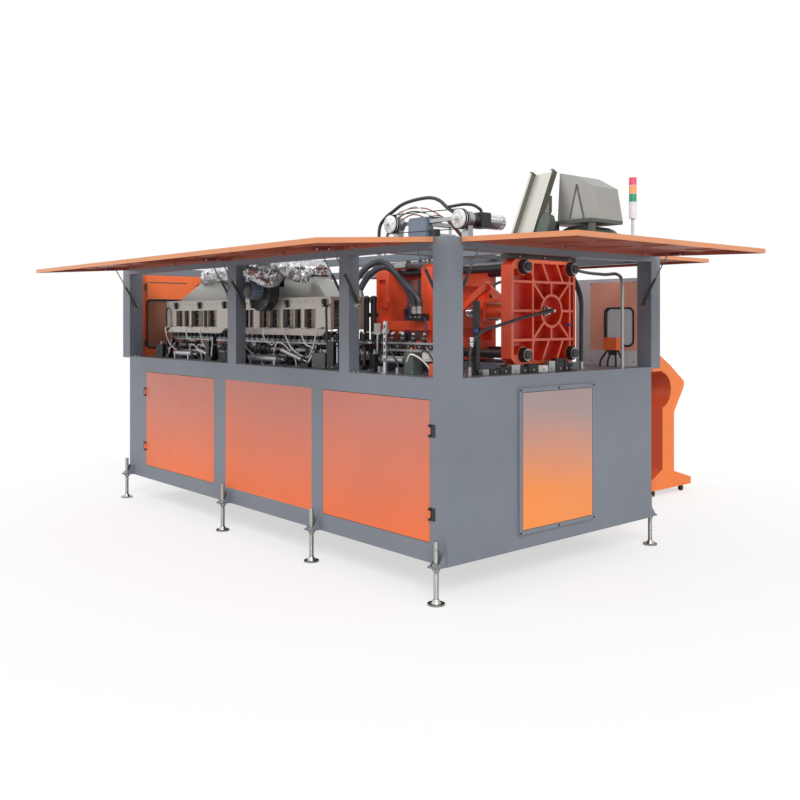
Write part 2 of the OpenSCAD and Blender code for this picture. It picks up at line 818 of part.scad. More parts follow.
module front_flap_1() color(flap_orange) at_front(front_x_1) flap(front_set_1);
module front_flap_2() color(flap_orange) at_front(front_x_2) flap(front_set_2);
module front_flap_3() color(flap_orange) at_front(front_x_3) flap(front_set_3);
module right_flap() color(flap_orange) at_right() flap(right_set);
module back_flap_1() color(flap_orange) at_back(back_x_1) flap(back_set_1);
module back_flap_2() color(flap_orange) at_back(back_x_2) flap(back_set_2);
module front_cylinders_1() color(black_part) at_front(front_x_1) strut_cylinders(front_set_1);
module front_cylinders_2() color(black_part) at_front(front_x_2) strut_cylinders(front_set_2);
module front_cylinders_3() color(black_part) at_front(front_x_3) strut_cylinders(front_set_3);
module right_cylinders() color(black_part) at_right() strut_cylinders(right_set);
module back_cylinders_1() color(black_part) at_back(back_x_1) strut_cylinders(back_set_1);
module back_cylinders_2() color(black_part) at_back(back_x_2) strut_cylinders(back_set_2);
module front_rods_1() color(bare_steel) at_front(front_x_1) strut_rods(front_set_1);
module front_rods_2() color(bare_steel) at_front(front_x_2) strut_rods(front_set_2);
module front_rods_3() color(bare_steel) at_front(front_x_3) strut_rods(front_set_3);
module right_rods() color(bare_steel) at_right() strut_rods(right_set);
module back_rods_1() color(bare_steel) at_back(back_x_1) strut_rods(back_set_1);
module back_rods_2() color(bare_steel) at_back(back_x_2) strut_rods(back_set_2);

// Ovens

module oven_housings() color(stainless)
    for (i = [0, 1])
        translate([oven_x[i], oven_y, 0]) {
            difference() {
                translate([0, 0, oven_low])
                    cube([oven_lengths[i], oven_wall, oven_high - oven_low]);
                for (edge = window_edges[i])
                    translate([edge[0], -1, window_low])
                        cube([edge[1] - edge[0], oven_wall + 2, window_high - window_low]);
            }
            difference() {
                translate([0, oven_wall + oven_seam, oven_high - oven_wall])
                    cube([oven_lengths[i], oven_depth - 2 * (oven_wall + oven_seam), oven_wall]);
                translate([hood_top_x[i][0], oven_depth / 2 - 90, oven_high - oven_wall - 1])
                    cube([hood_top_x[i][1] - 60, 180, oven_wall + 2]);
            }
            translate([0, oven_depth - oven_wall, oven_low])
                cube([oven_lengths[i], oven_wall, oven_high - oven_low]);
            for (x = [240, oven_lengths[i] - 270])
                translate([x, oven_depth - oven_wall, table_top])
                    cube([30, oven_wall, oven_low - table_top - oven_seam]);
        }

module hood_block(i, inset) {
    x0 = hood_inset[i][0] + inset;
    x1 = oven_lengths[i] - hood_inset[i][1] - inset;
    t0 = hood_top_x[i][0] + inset;
    t1 = hood_top_x[i][0] + hood_top_x[i][1] - inset;
    y0 = 20 + inset;
    y1 = oven_depth - 20 - inset;
    u0 = duct_y - oven_y - duct_r + inset;
    u1 = duct_y - oven_y + duct_r - inset;
    low = oven_high - inset;
    high = hood_top + (inset > 0 ? 1 : 0);
    polyhedron([[x0, y0, low], [x1, y0, low], [x1, y1, low], [x0, y1, low],
        [t0, u0, high], [t1, u0, high], [t1, u1, high], [t0, u1, high]],
        [[0, 1, 2, 3], [7, 6, 5, 4], [0, 4, 5, 1], [1, 5, 6, 2], [2, 6, 7, 3], [3, 7, 4, 0]]);
}

module oven_hoods() color(stainless)
    for (i = [0, 1])
        translate([oven_x[i], oven_y, 0])
            difference() {
                hood_block(i, 0);
                hood_block(i, hood_wall);
            }

module heater_lamps() color("ivory")
    for (i = [0, 1])
        translate([oven_x[i], lamp_y, 0]) {
            for (x = [lamp_end, oven_lengths[i] - lamp_end - 10])
                translate([x, -12, oven_low + 4])
                    cube([10, oven_y + oven_depth - oven_wall - lamp_y + 12,
                        lamp_pitch * lamp_count - 6]);
            for (k = [0:lamp_count - 1])
                rod_x(lamp_end + 10, 0, oven_low + 16 + k * lamp_pitch,
                    oven_lengths[i] - 2 * lamp_end - 20, lamp_r);
        }

module exhaust_duct() color(stainless) {
    x0 = oven_1_x + hood_top_x[0][0];
    x1 = oven_2_x + hood_top_x[1][0] + hood_top_x[1][1];
    difference() {
        union() {
            rod_x(x0, duct_y, duct_z, x1 - x0, duct_r);
            for (i = [0, 1])
                translate([oven_x[i] + hood_top_x[i][0], duct_y - duct_r, hood_top])
                    cube([hood_top_x[i][1], 2 * duct_r, duct_z - hood_top]);
        }
        rod_x(x0 + hood_wall, duct_y, duct_z, x1 - x0 - 2 * hood_wall, duct_r - hood_wall);
        for (i = [0, 1])
            translate([oven_x[i] + hood_top_x[i][0] + hood_wall, duct_y - duct_r + hood_wall,
                hood_top - 1])
                cube([hood_top_x[i][1] - 2 * hood_wall, 2 * (duct_r - hood_wall),
                    duct_z - hood_top + 1]);
    }
}

module oven_blower() color(black_part) {
    y_end = blower_y + blower_width;
    difference() {
        union() {
            rod_y(blower_x, blower_y, blower_z, blower_width, blower_r);
            translate([blower_x, blower_y, blower_z + 20])
                cube([blower_r + 60, blower_width, blower_r - 20]);
        }
        rod_y(blower_x, blower_y + 6, blower_z, blower_width - 12, blower_r - 8);
        rod_y(blower_x, y_end - 8, blower_z, 20, blower_r - 60);
        rod_y(blower_x, blower_y - 10, blower_z, 20, shaft_r + 20);
        translate([blower_x + 30, blower_y + 6, blower_z + 26])
            cube([blower_r + 40, blower_width - 12, blower_r - 32]);
    }
    difference() {
        union() {
            rod_y(blower_x, blower_y - 92, blower_z, 92, 60);
            for (k = [0:15])
                translate([blower_x, blower_y - 46, blower_z])
                    rotate([0, k * 22.5, 0])
                    translate([-2, -36, 0]) cube([4, 72, 68]);
        }
        rod_y(blower_x, blower_y - 60, blower_z, 80, shaft_r + run);
    }
}

module blower_impeller() color(bare_steel) {
    difference() {
        rod_y(blower_x, blower_y + 12, blower_z, 4, impeller_r);
        rod_y(blower_x, blower_y + 10, blower_z, 8, shaft_r - 1);
    }
    for (k = [0:17])
        translate([blower_x, blower_y + 15, blower_z])
            rotate([0, k * 20, 0])
            translate([impeller_r - 34, 0, 0])
            rotate([0, 35, 0])
            translate([0, 0, -1.5]) cube([30, 42, 3]);
    rod_y(blower_x, blower_y - 54, blower_z, 78, shaft_r);
    rod_y(blower_x, blower_y + 14, blower_z, 24, 22);
}

// Preform chain

module stadium(r) {
    length = wheel_right_x - wheel_left_x;
    translate([wheel_left_x, wheel_y]) circle(r);
    translate([wheel_right_x, wheel_y]) circle(r);
    translate([wheel_left_x, wheel_y - r]) square([length, 2 * r]);
}

module mandrel(at) {
    translate([at[0], at[1], chain_high - 1]) {
        cylinder(r = mandrel_r, h = mandrel_high - tip_high - chain_high + 1, $fn = 24);
        cylinder(r = tip_r, h = mandrel_high - chain_high + 1, $fn = 24);
    }
}

// Points along the loop at a distance s from the start of the front run
function loop_point(s) =
    let (run_length = wheel_right_x - wheel_left_x, arc = PI * wheel_r)
    s < run_length ? [wheel_left_x + s, wheel_y - wheel_r]
    : s < run_length + arc ? let (a = (s - run_length) / wheel_r * 180 / PI - 90)
        [wheel_right_x + wheel_r * cos(a), wheel_y + wheel_r * sin(a)]
    : s < 2 * run_length + arc ? [wheel_right_x - (s - run_length - arc), wheel_y + wheel_r]
    : let (a = (s - 2 * run_length - arc) / wheel_r * 180 / PI + 90)
        [wheel_left_x + wheel_r * cos(a), wheel_y + wheel_r * sin(a)];

module mandrel_chain() color(bare_steel) {
    translate([0, 0, chain_high - chain_thick])
        linear_extrude(chain_thick)
        difference() {
            stadium(wheel_r + chain_width / 2);
            stadium(wheel_r - chain_width / 2);
        }
    loop = 2 * (wheel_right_x - wheel_left_x) + 2 * PI * wheel_r;
    count = floor(loop / mandrel_pitch);
    for (k = [0:count - 1]) mandrel(loop_point(k * loop / count));
}

module chain_wheel(x) {
    r = wheel_r - chain_width / 2 - wheel_clear;
    translate([x, wheel_y, chain_high - chain_thick + 2]) {
        difference() {
            cylinder(r = r, h = chain_thick - 4);
            for (k = [0:5])
                rotate([0, 0, k * 60])
                    translate([r * 0.6, 0, -1]) cylinder(r = r * 0.22, h = chain_thick);
        }
        translate([0, 0, wheel_shaft_low - chain_high + chain_thick - 2])
            cylinder(r = wheel_shaft_r, h = chain_high - wheel_shaft_low + 12);
    }
}

module chain_wheel_left() color(bare_steel) chain_wheel(wheel_left_x);
module chain_wheel_right() color(bare_steel) chain_wheel(wheel_right_x);

// Guide bars, their posts, the wheels' bearing pedestals and the transfer row
module chain_rails() color(bare_steel) {
    bar_low = chain_high - chain_thick - rail_bar;
    for (y = [wheel_y - wheel_r, wheel_y + wheel_r]) {
        translate([wheel_left_x, y - 15, bar_low])
            cube([wheel_right_x - wheel_left_x, 30, rail_bar]);
        for (x = [wheel_left_x + 130 : 480 : wheel_right_x - 60])
            translate([x, y - 12, table_top]) cube([36, 24, bar_low - table_top]);
    }
    for (x = [wheel_left_x, wheel_right_x])
        difference() {
            translate([x - 45, wheel_y - 45, table_top])
                cube([90, 90, chain_high - chain_thick - 36 - table_top]);
            translate([x, wheel_y, wheel_shaft_low - 0.3]) cylinder(r = wheel_shaft_r + run, h = 120);
        }
    translate([transfer_x, chain_y - 20, chain_high - 20])
        cube([transfer_end - transfer_x, 40, 20]);
    translate([transfer_x, chain_y - 34, 1348]) cube([transfer_end - transfer_x, 14, 14]);
    for (x = [transfer_x, transfer_end - 30])
        translate([x, chain_y - 20, table_top]) cube([30, 40, chain_high - table_top - 19]);
    for (k = [0 : floor((transfer_end - transfer_x - 60) / transfer_pitch)])
        mandrel([transfer_x + 40 + k * transfer_pitch, chain_y]);
    translate([transfer_x - 40, chain_y - 60, table_top]) {
        cube([18, 22, 300]);
        translate([0, 22, 110]) cube([41, 20, 20]);
        translate([-18, -6, 230]) cube([54, 8, 70]);
    }
}

module chain_drive() {
    x = wheel_right_x + wheel_r + 20;
    y = wheel_y + 30;
    color(black_part) translate([x, y, table_top]) cube([260, 170, 70]);
    color(cast_red) {
        rod_x(x + 10, y + 85, table_top + 125, 200, 58);
        translate([x + 200, y + 20, table_top + 70]) cube([70, 130, 130]);
    }
}

// Clamp unit

module clamp_bed() color(frame_grey) {
    for (y = [bar_y[0] - 50, bar_y[1] - 50])
        translate([fixed_x - 40, y, table_top])
            cube([clamp_x - fixed_x + 60, 100, platen_low - table_top]);
}

module platen_outline(cut) {
    w = platen_width;
    h = platen_height;
    polygon([[cut, 0], [w - cut, 0], [w, cut], [w, h - cut], [w - cut, h], [cut, h], [0, h - cut],
        [0, cut]]);
}

// Platen slab with its thickness along +X from x
module platen_slab(x, thick, cut = chamfer) {
    translate([x, platen_y, platen_low])
        rotate([90, 0, 90])
        linear_extrude(thick)
        platen_outline(cut);
}

module bar_holes(x, thick, clear) {
    for (y = bar_y, z = bar_z) rod_x(x - 1, y, z, thick + 2, tie_bar_r + clear);
}

module toggle_lug(x, wall_x, y) {
    rod_y(x, y, clamp_z, lug_thick, link_r);
    translate([min(x, wall_x), y, clamp_z - link_r])
        cube([abs(wall_x - x), lug_thick, 2 * link_r]);
}

// Two lugs and the pin that hold a link whose near face is at y
module yoke(x, wall_x, y) {
    low = y - lug_gap - lug_thick;
    toggle_lug(x, wall_x, low);
    toggle_lug(x, wall_x, y + link_thick + lug_gap);
    rod_y(x, low, clamp_z, link_thick + 2 * (lug_gap + lug_thick), toggle_pin_r);
}

// Rib across the platen's outer face between two points in the YZ plane, its edge lower by low
module face_rib(a, b, low = 0) {
    high = end_platen - rib_base;
    d = b - a;
    translate([clamp_x - high - 1, a[0], a[1]])
        rotate([atan2(d[1], d[0]), 0, 0])
        translate([0, 0, -rib / 2]) cube([high + 1 - low, norm(d), rib]);
}

// Rear end platen: a thick plate with a cast grid, a hub ring with eight spokes and slanted ribs
module clamp_end_platen() color(cast_red) {
    y0 = platen_y;
    y1 = platen_y + platen_width;
    z0 = platen_low;
    z1 = platen_high;
    ring_z = clamp_z;
    box = ring_box / 2;
    difference() {
        union() {
            platen_slab(end_back_x, rib_base);
            difference() {
                platen_slab(end_back_x, end_platen);
                translate([end_back_x - 1, platen_y + rib_border, platen_low + rib_border])
                    cube([end_platen + 2, platen_width - 2 * rib_border,
                        platen_height - 2 * rib_border]);
            }
            for (cz = [z0, z1], cy = [y0, y1])
                intersection() {
                    platen_slab(end_back_x, end_platen);
                    translate([end_back_x, cy - 62, cz - 62]) cube([end_platen, 124, 124]);
                }
            for (y = [ring_y - box, ring_y + box]) face_rib([y, z0 + 10], [y, z1 - 10]);
            for (z = [ring_z - box, ring_z, ring_z + box]) {
                face_rib([y0 + 8, z], [ring_y - ring_r + 6, z]);
                face_rib([ring_y + ring_r - 6, z], [y1 - 8, z]);
            }
            for (z = [ring_z - box, ring_z + box]) face_rib([y0 + 8, z], [y1 - 8, z]);
            for (k = [0:7]) {
                a = k * 45;
                far = k % 2 == 0 ? box : box * sqrt(2);
                face_rib([ring_y + (ring_r - 6) * cos(a), ring_z + (ring_r - 6) * sin(a)],
                    [ring_y + far * cos(a), ring_z + far * sin(a)], rib_step);
            }
            for (k = [0:2]) {
                y = y0 + 150 + k * 140;
                face_rib([y, z0 + 8], [y + 70, ring_z - box], 2 * rib_step);
                face_rib([y + 70, ring_z + box], [y, z1 - 8], 2 * rib_step);
            }
            rod_x(end_back_x + 1, ring_y, ring_z, end_platen - 1, ring_r);
            for (y = bar_y, z = bar_z) rod_x(end_back_x + 1, y, z, end_platen - 1, tie_bar_r + 24);
            for (y = toggle_y) yoke(pivot_a_x, end_back_x + 1, y + link_gap / 2);
        }
        rod_x(clamp_x - end_platen + rib_base, ring_y, ring_z, end_platen, ring_r - rib);
        bar_holes(end_back_x, end_platen, 0.4);
    }
}

module clamp_fixed_platen() color(cast_red)
    difference() {
        union() {
            platen_slab(fixed_x, fixed_platen, 24);
            translate([fixed_x + 60, platen_y - 36, clamp_z - 128])
                cube([moving_x + moving_platen - fixed_x - 60, 28, 64]);
            translate([fixed_x + 60, platen_y - 36, clamp_z - 128])
                cube([fixed_platen - 70, 40, 64]);
            rod_y(fixed_x + fixed_platen - 30, platen_y - 14, clamp_z + 60, 20, 40);
        }
        for (z = [platen_low + 40, platen_low + 240, platen_low + 440])
            translate([fixed_x - 1, platen_y + 40, z]) cube([70, platen_width - 80, 160]);
        for (z = [platen_low + 60, platen_low + 360])
            translate([fixed_x + 22, platen_y - 1, z]) cube([fixed_platen - 60, 26, 200]);
        bar_holes(fixed_x, fixed_platen, 0.4);
    }

module clamp_moving_platen() color(cast_red) {
    wall_x = moving_x + moving_platen;
    difference() {
        union() {
            platen_slab(moving_x, moving_platen, 24);
            for (y = toggle_y) yoke(pivot_b_x, wall_x - 1, y - link_gap / 2 - link_thick);
        }
        for (z = [platen_low + 130, platen_low + 420])
            translate([wall_x - 60, platen_y + 160, z]) cube([61, platen_width - 200, 90]);
        bar_holes(moving_x, moving_platen, run);
        translate([moving_x - 1, platen_y - 1, platen_low - 1])
            cube([moving_platen + 2, platen_width + 2, 1 + bed_gap]);
    }
}

module clamp_tie_bars() color(black_part)
    for (y = bar_y, z = bar_z) {
        rod_x(fixed_x - 44, y, z, clamp_x - fixed_x + 94, tie_bar_r);
        rod_x(fixed_x - 30, y, z, 30, tie_bar_r + 16, $fn = 6);
        rod_x(clamp_x, y, z, 36, tie_bar_r + 16, $fn = 6);
    }

module mould_block(x, face_x) {
    difference() {
        translate([x, clamp_y - mould_width / 2, clamp_z - mould_height / 2])
            cube([mould_half, mould_width, mould_height]);
        for (k = [-1:1])
            translate([face_x, clamp_y + k * cavity_pitch, mould_top]) {
                translate([0, 0, -60]) cylinder(r = neck_r, h = 61);
                translate([0, 0, -90]) cylinder(r1 = cavity_r, r2 = neck_r, h = 31);
                translate([0, 0, -310]) cylinder(r = cavity_r, h = 220.5);
            }
    }
}

module mould_half_fixed() color(bare_steel) mould_block(mould_fixed_x, split_x);
module mould_half_moving() color(bare_steel) mould_block(mould_moving_x, mould_moving_x);

// Link from its pivot along +X, a boss at each end
module toggle_link() {
    difference() {
        union() {
            rod_y(0, 0, 0, link_thick, link_r - 2);
            translate([0, 0, -22]) cube([link_length, link_thick, 44]);
            rod_y(link_length, 0, 0, link_thick, link_r - 4);
        }
        rod_y(0, -1, 0, link_thick + 2, toggle_pin_r + run);
    }
}

module toggle_rear_links() color(cast_red)
    for (y = toggle_y)
        translate([pivot_a_x, y + link_gap / 2, clamp_z])
            rotate([0, 180 + link_tilt, 0]) {
                toggle_link();
                rod_y(link_length, link_thick - 1, 0, 11, 24);
            }

module toggle_front_links() color(cast_red)
    for (y = toggle_y)
        translate([pivot_b_x, y - link_gap / 2 - link_thick, clamp_z])
            rotate([0, -link_tilt, 0]) {
                toggle_link();
                rod_y(link_length, -10, 0, 11, 24);
            }

module clamp_cylinder() color(bare_steel) {
    gland_x = pivot_b_x + 140;
    difference() {
        union() {
            rod_x(gland_x, clamp_y, clamp_z, end_back_x - gland_x, 56);
            for (x = [gland_x, end_back_x - 20])
                translate([x, clamp_y - 64, clamp_z - 64]) cube([20, 128, 128]);
        }
        rod_x(gland_x - 1, clamp_y, clamp_z, 240, rod_r + run);
    }
}

module clamp_rod() color(bare_steel) {
    wall_x = moving_x + moving_platen;
    rod_x(wall_x, clamp_y, clamp_z, 410, rod_r);
    rod_x(wall_x, clamp_y, clamp_z, 22, 42);
}

// Blow station over the mould, hung from the roof beams
module blow_station() color(bare_steel) {
    difference() {
        union() {
            translate([split_x - 60, long_beam_y[0], nozzle_plate_z])
                cube([120, long_beam_y[1] + roof_beam - long_beam_y[0], nozzle_plate]);
            for (k = [-1:1])
                translate([split_x, clamp_y + k * cavity_pitch, nozzle_plate_z - nozzle_length])
                    cylinder(r = 20, h = nozzle_length + 1);
        }
        for (k = [-1:1])
            translate([split_x, clamp_y + k * cavity_pitch, mould_top])
                cylinder(r = stretch_rod_r + run, h = nozzle_plate_z + nozzle_plate - mould_top + 1);
    }
    for (y = long_beam_y)
        translate([split_x - 60, y + 10, nozzle_plate_z + nozzle_plate - 1])
            cube([120, 40, long_beam_low - nozzle_plate_z - nozzle_plate + 1]);
    for (side = [-1, 1])
        translate([split_x, clamp_y + side * guide_y, nozzle_plate_z])
            cylinder(r = column_r, h = bridge_z - nozzle_plate_z + 1);
    translate([split_x - 45, clamp_y - guide_y - 35, bridge_z]) cube([90, 2 * guide_y + 70, 22]);
    translate([split_x, clamp_y, bridge_z + 21]) cylinder(r = 40, h = 50);
}

module stretch_carriage() color(bare_steel) {
    difference() {
        translate([split_x - 34, clamp_y - guide_y - 25, carriage_z])
            cube([68, 2 * guide_y + 50, carriage_high]);
        for (side = [-1, 1])
            translate([split_x, clamp_y + side * guide_y, carriage_z - 1])
                cylinder(r = column_r + run, h = carriage_high + 2);
    }
    for (k = [-1:1])
        translate([split_x, clamp_y + k * cavity_pitch, mould_top + 14])
            cylinder(r = stretch_rod_r, h = carriage_z - mould_top - 13);
}

// Belt axis on the roof beams: a disc-faced pulley at each end and the servo motor
module roof_drive() {
    y0 = long_beam_y[0] + 4;
    right_at = [1400, 2190];
    left_at = [720, 2206];
    color(bare_steel) {
        for (at = [right_at, left_at]) {
            rod_y(at[0], y0 - 60, at[1], 34, 62);
            rod_y(at[0], y0 - 26, at[1], 30, 30);
            translate([at[0] - 30, y0, frame_top]) cube([60, 44, at[1] - frame_top]);
            rod_y(at[0], y0, at[1], 44, 52);
        }
        translate([left_at[0], y0 + 8, left_at[1] - 12])
            cube([right_at[0] - left_at[0], 26, 24]);
    }
    color(black_part) {
        rod_y(right_at[0], y0 + 43, right_at[1], 60, 46);
        translate([right_at[0] - 50, y0 + 102, right_at[1] - 50]) cube([100, 90, 100]);
    }
    color(stainless) rod_y(right_at[0], y0 + 191, right_at[1], 150, 46);
    color([0.40, 0.47, 0.55]) {
        translate([860, y0 - 10, frame_top]) cube([180, 60, 225]);
    }
}

// Preform chute and its hood on the roof

chute_x = 1375;
chute_width = 200;
chute_low = [232, 2012];
chute_high = [480, 2548];

module preform_chute() color(stainless) {
    d = chute_high - chute_low;
    slope = atan2(d[1], d[0]);
    translate([chute_x, chute_low[0], chute_low[1]])
        rotate([slope, 0, 0]) {
            cube([chute_width, norm(d), 4]);
            for (x = [0, chute_width - 18]) cube_at(x, norm(d));
        }
    for (x = [chute_x, chute_x + chute_width - 30])
        translate([x, long_beam_y[1] + 10, frame_top]) cube([30, 30, 380]);
    translate([chute_x, chute_low[0] - 20, frame_top]) cube([chute_width, 60, 14]);
    translate([chute_x + 70, chute_low[0] - 20, frame_top])
        cube([60, long_beam_y[1] + 40 - chute_low[0] + 20, 14]);
}

module cube_at(x, length) {
    translate([x, 0, -2]) cube([18, length, 46]);
}

hood_points = [[0, 0], [20, 332], [156, 300], [308, 216], [350, 0]];

module chute_hood() color(stainless) {
    x = chute_x + chute_width + 15;
    z = 2200;
    y0 = 470;
    depth = 250;
    difference() {
        translate([x, y0 + depth, z]) rotate([90, 0, 0]) linear_extrude(depth)
            polygon(hood_points);
        translate([x, y0 + depth - 5, z - 6]) rotate([90, 0, 0]) linear_extrude(depth - 10)
            polygon([[6, 0], [25, 332], [154, 300.5], [303, 218.5], [344, 0]]);
        translate([x, y0 + 6, z]) rotate([90, 0, 0]) linear_extrude(12)
            polygon([[107, 20], [163, 242], [222, 12]]);
    }
    color(frame_grey) {
        translate([x, long_beam_y[1], z - 24]) cube([350, y0 + depth - long_beam_y[1], 24]);
        for (sx = [10, 310])
            translate([x + sx, long_beam_y[1] + 10, frame_top]) cube([30, 40, z - 23 - frame_top]);
    }
}

module stack_light() {
    x = 1800;
    y = frame_back - rail_depth / 2;
    color("white") translate([x, y, frame_top]) {
        cylinder(r = 24, h = 8);
        cylinder(r = 11, h = 250);
        translate([0, 0, 250]) cylinder(r = 27, h = 116);
    }
    color("green") translate([x, y, frame_top + 366]) cylinder(r = 27, h = 58);
    color("orange") translate([x, y, frame_top + 424]) cylinder(r = 27, h = 58);
    color("red") translate([x, y, frame_top + 482]) cylinder(r = 27, h = 58);
}

// Hoses and cables that the machine holds from end to end
on_table = table_top + 0.3;
on_roof = frame_top + 0.3;
under_beam = long_beam_low - 0.3;
hose_left = [[620, -540, 1696], [620, -540, 1760], [690, -480, 1890], [771, -400, 1938],
    [880, -350, 1840], [965, -300, 1700], [985, -290, 1636], [985, -290, 1582]];
hose_right = [[662, -500, 1696], [662, -500, 1750], [720, -450, 1860], [800, -380, 1900],
    [918, -328, 1796], [1018, -296, 1690], [1035, -290, 1636], [1035, -290, 1582]];
cable_platen = [[1814, 111, 1598], [1836, 108, 1598], [1852, 70, 1596], [1856, -100, 1570],
    [1856, -372, 1514], [1854, -526, 1477], [1850, -620, 1403], [1850, -640, 1300],
    [1850, -640, on_table]];
hose_side_1 = [[1830, 420, on_table], [1830, 420, 1290], [1832, 418, 1500], [1826, 420, 1690],
    [1760, 424, 1830], [1710, 420, 1900], [1710, 420, under_beam]];
hose_side_2 = [[1800, 452, on_table], [1800, 452, 1290], [1802, 450, 1500], [1796, 448, 1690],
    [1720, 436, 1830], [1660, 420, 1900], [1660, 420, under_beam]];
loop_big = [[500, -200, on_roof], [500, -200, 2060], [508, -200, 2205], [576, -200, 2270],
    [660, -200, 2309], [753, -200, 2346], [856, -200, 2363], [979, -200, 2369], [1065, -200, 2362],
    [1140, -200, 2335], [1202, -200, 2289], [1254, -202, 2258], [1288, -205, 2241],
    [1288, -205, 2218.3]];
loop_small = [[1202, -200, 2289], [1262, -200, 2289], [1330, -172, 2296], [1384, -138, 2290],
    [1410, -108, 2268], [1414, -92, 2254], [1414, -92, 2240.3]];
pipe_rear = [[1950, 700, on_table], [1950, 700, 1330], [1950, 700, 1640], [1946, 702, 1790],
    [1900, 712, 1846], [1780, 716, 1850], [1600, 690, 1880], [1480, 600, 1950], [1450, 520, 1975],
    [1450, long_beam_y[1] + roof_beam + 0.3, 1975]];

module machine_hoses() color(black_part) {
    hose(hose_left, 42);
    hose(hose_right, 42);
    hose(cable_platen, 20);
    hose(hose_side_1, 24);
    hose(hose_side_2, 24);
    hose(loop_big, 24);
    hose(loop_small, 20);
    hose(pipe_rear, 22);
    translate([950, platen_y - 80, clamp_z - 64]) cube([120, 70, 48]);
    rod_x(clamp_x - end_platen + rib_base, clamp_y, clamp_z, 70, 20);
}

// Operator console on castors: the side profile in its own frame, y towards the operator

module console_profile() {
    difference() {
        polygon([[-506, 57], [110, 57], [110, 119], [-162, 199], [-162, 721], [-90, 821],
            [-21, 916], [-3, 952], [-3, 989], [-216, 1134], [-374, 1224], [-500, 1224],
            [-500, 1090], [-342, 1090], [-342, 233], [-506, 150]]);
        translate([-368, 925]) circle(155);
    }
}

module operator_console() color(door_orange)
    translate([console_at[0], console_at[1], 0]) {
        difference() {
            rotate([90, 0, -90]) mirror([1, 0, 0]) linear_extrude(console_width) console_profile();
            translate([24 - console_width, -330, 300]) cube([console_width - 48, 156, 400]);
        }
        for (x = [-40, 40 - console_width], y = [-440, 6]) {
            rod_x(x - 12, y, caster_r, 24, caster_r);
            for (side = [-1, 1])
                translate([x + side * 14 - 2, y - 12, caster_r]) cube([4, 24, 58 - caster_r]);
        }
        translate([-console_width / 2, -222, 1128]) rotate([-55, 0, 0]) cylinder(r = 16, h = 26);
    }

base_frame();
table_plate();
levelling_feet();
front_door_left();
front_door_right();
service_door();
fixed_panels();
door_hinges();
upper_frame();
guard_panels();
rear_guard();
guard_windows();
front_flap_1();
front_flap_2();
front_flap_3();
right_flap();
back_flap_1();
back_flap_2();
front_cylinders_1();
front_cylinders_2();
front_cylinders_3();
right_cylinders();
back_cylinders_1();
back_cylinders_2();
front_rods_1();
front_rods_2();
front_rods_3();
right_rods();
back_rods_1();
back_rods_2();
oven_housings();
oven_hoods();
heater_lamps();
exhaust_duct();
oven_blower();
blower_impeller();
chain_rails();
mandrel_chain();
chain_wheel_left();
chain_wheel_right();
chain_drive();
clamp_bed();
clamp_end_platen();
clamp_fixed_platen();
clamp_moving_platen();
clamp_tie_bars();
mould_half_fixed();
mould_half_moving();
toggle_rear_links();
toggle_front_links();
clamp_cylinder();
clamp_rod();
blow_station();
stretch_carriage();
roof_drive();
preform_chute();
chute_hood();
machine_hoses();
stack_light();
operator_console();
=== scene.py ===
"""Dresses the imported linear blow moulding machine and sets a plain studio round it.

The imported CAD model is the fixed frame. Each sub-assembly is a class: its sizes are dataclass
fields, in millimetres in the machine's own frame, and its methods build its meshes and dress them.
"""

from __future__ import annotations

import logging
import math
import random
from collections.abc import Callable, Iterable, Sequence
from dataclasses import dataclass, field
from enum import Enum

import bmesh
import bpy
from mathutils import Matrix, Vector

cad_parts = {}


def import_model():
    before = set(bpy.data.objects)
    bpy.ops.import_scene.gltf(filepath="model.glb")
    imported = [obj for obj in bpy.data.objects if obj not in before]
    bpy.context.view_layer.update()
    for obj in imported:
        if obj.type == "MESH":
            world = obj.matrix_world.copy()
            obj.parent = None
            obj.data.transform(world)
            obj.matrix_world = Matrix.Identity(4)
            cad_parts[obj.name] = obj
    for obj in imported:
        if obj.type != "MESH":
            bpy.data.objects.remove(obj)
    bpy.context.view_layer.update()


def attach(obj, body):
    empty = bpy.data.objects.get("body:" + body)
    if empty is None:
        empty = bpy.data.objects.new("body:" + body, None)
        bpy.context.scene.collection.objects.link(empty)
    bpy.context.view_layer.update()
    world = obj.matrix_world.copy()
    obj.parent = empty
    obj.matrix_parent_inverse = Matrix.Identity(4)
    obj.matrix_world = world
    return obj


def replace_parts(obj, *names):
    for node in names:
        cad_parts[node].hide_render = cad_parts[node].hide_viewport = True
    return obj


LOG = logging.getLogger("machine")
MM = 0.001
Point = tuple[float, float, float]
Pair = tuple[float, float]
Chip = tuple[int, int, int]
UP: Point = (0, 0, 1)
DOWN: Point = (0, 0, -1)
RIGHT: Point = (1, 0, 0)
LEFT: Point = (-1, 0, 0)
FRONT: Point = (0, -1, 0)
BACK: Point = (0, 1, 0)
MIDDLE: Pair = (0.3, 0.7)  # where most of a cloud pattern lies
CREASE = math.radians(38)  # sharper edges than this are shaded sharp
CORNER = math.radians(50)  # sharper edges than this get softened


def linear(chip: Chip, shade: float = 1.0) -> tuple[float, float, float, float]:
    """Turns a paint chip into a scene colour.

    Args:
        chip: red, green and blue from 0 to 255, as seen on a screen.
        shade: factor on the finished colour.

    Returns:
        The scene-linear colour with full opacity.
    """
    parts = [(c / 255 / 12.92) if c < 11 else ((c / 255 + 0.055) / 1.055) ** 2.4 for c in chip]
    return (*(min(1.0, p * shade) for p in parts), 1.0)


